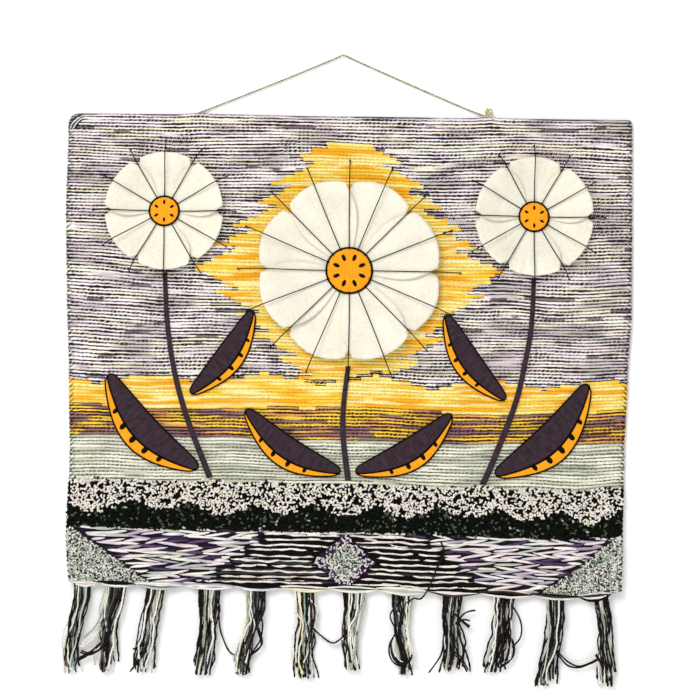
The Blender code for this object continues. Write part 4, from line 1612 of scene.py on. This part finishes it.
def add_threads():
    """Dark threads that ray out from each flower's middle over its petals and are knotted into the ground."""
    threads = Skein("sewn_threads", [loose_yarn("black")])
    for _, a, d, radius, petals, rise in FLOWERS:
        for k in range(2 * petals):
            angle = tau * k / (2 * petals)
            path = []
            for reach in (0.23, 0.40, 0.55, 0.70, 0.82, 0.93, 1.02, 1.11, 1.20):
                over = petal_out(radius, rise, reach * radius, True, 0.5 * reach) + CLOTH + 0.0022
                over += 0.0028 * ease((reach - 0.50) / 0.40)
                out = over if reach < 1.05 else WEAVE + 0.0015 + (over - WEAVE) * (1.20 - reach) / 0.18
                path.append(on_cloth(a + reach * radius * cos(angle), d + reach * radius * sin(angle), out))
            path.append(path[-1] + Vector((0, 0.0016, 0)))
            threads.strand(smooth_route([tuple(p) for p in path], 0.004), THREAD, sides=5)
            knot = [path[-1] + Vector((0, -out, 0)) for out in (0.0006, 0.0016, 0.0026)]
            threads.strand(knot, 0.0011)
    dress(threads.finish(), "dark_felt")


STAGE = 3.2
WALL_Y, FLOOR_Y, FLOOR_Z = 0.0008, -1.6, -1.0
WALL_GLOW = 0.04
NEAR = 0.02  # how close to the wall a bounce of light goes through it


def add_stage():
    """A white wall behind the hanging and a pale floor, both clear from behind and to lamps' shadows.

    The cloth's back, close to the wall, is lit as if the wall weren't there."""
    finish = Finish("white_wall", 1.0)
    finish.shader.inputs["Base Color"].default_value = (1, 1, 1, 1)
    finish.shader.inputs["Emission Color"].default_value = (1, 1, 1, 1)
    finish.shader.inputs["Emission Strength"].default_value = WALL_GLOW
    behind = finish.node("ShaderNodeNewGeometry", {}, {}, "Backfacing")
    lamp = finish.node("ShaderNodeLightPath", {}, {}, "Is Shadow Ray")
    clear = finish.node("ShaderNodeBsdfTransparent", {}, {})
    near = finish.node("ShaderNodeLightPath", {}, {}, "Ray Length") < NEAR
    glow = finish.node("ShaderNodeLightPath", {}, {}, "Is Diffuse Ray")
    share = behind.most(lamp).most(glow * near)
    solid = Wire(finish, finish.shader.outputs[0])
    both = finish.node("ShaderNodeMixShader", {}, {0: share, 1: solid, 2: clear})
    finish.join(both, finish.tree.nodes["Material Output"].inputs["Surface"])
    bpy.ops.mesh.primitive_plane_add(size=STAGE, location=(0, WALL_Y, -0.2), rotation=(pi / 2, 0, 0))
    wall = bpy.context.object
    wall.name = "wall"
    bpy.ops.mesh.primitive_plane_add(size=STAGE, location=(0, FLOOR_Y, FLOOR_Z))
    floor = bpy.context.object
    floor.name = "floor"
    for part in (wall, floor):
        part.data.materials.append(finish.material)


def main():
    add_camera()
    add_lights()
    add_stage()
    add_cord()
    add_ground()
    add_piles()
    add_stitches()
    add_couching()
    add_wraps()
    add_corner_turns()
    add_tassels()
    canvas = canvas_finish()
    gold = felt_finish("golden_felt", FELT_GOLD, 0.84, 1.05)
    dark = felt_finish("dark_felt", FELT_DARK, 0.55, 1.45)
    for flower in FLOWERS:
        for index in range(flower[4]):
            add_petal(*flower, index, canvas)
        add_centre(*flower, gold)
    for stem in STEMS:
        add_stem(*stem, dark)
    for leaf in LEAVES:
        add_leaf(*leaf, dark, gold)
    add_threads()


main()
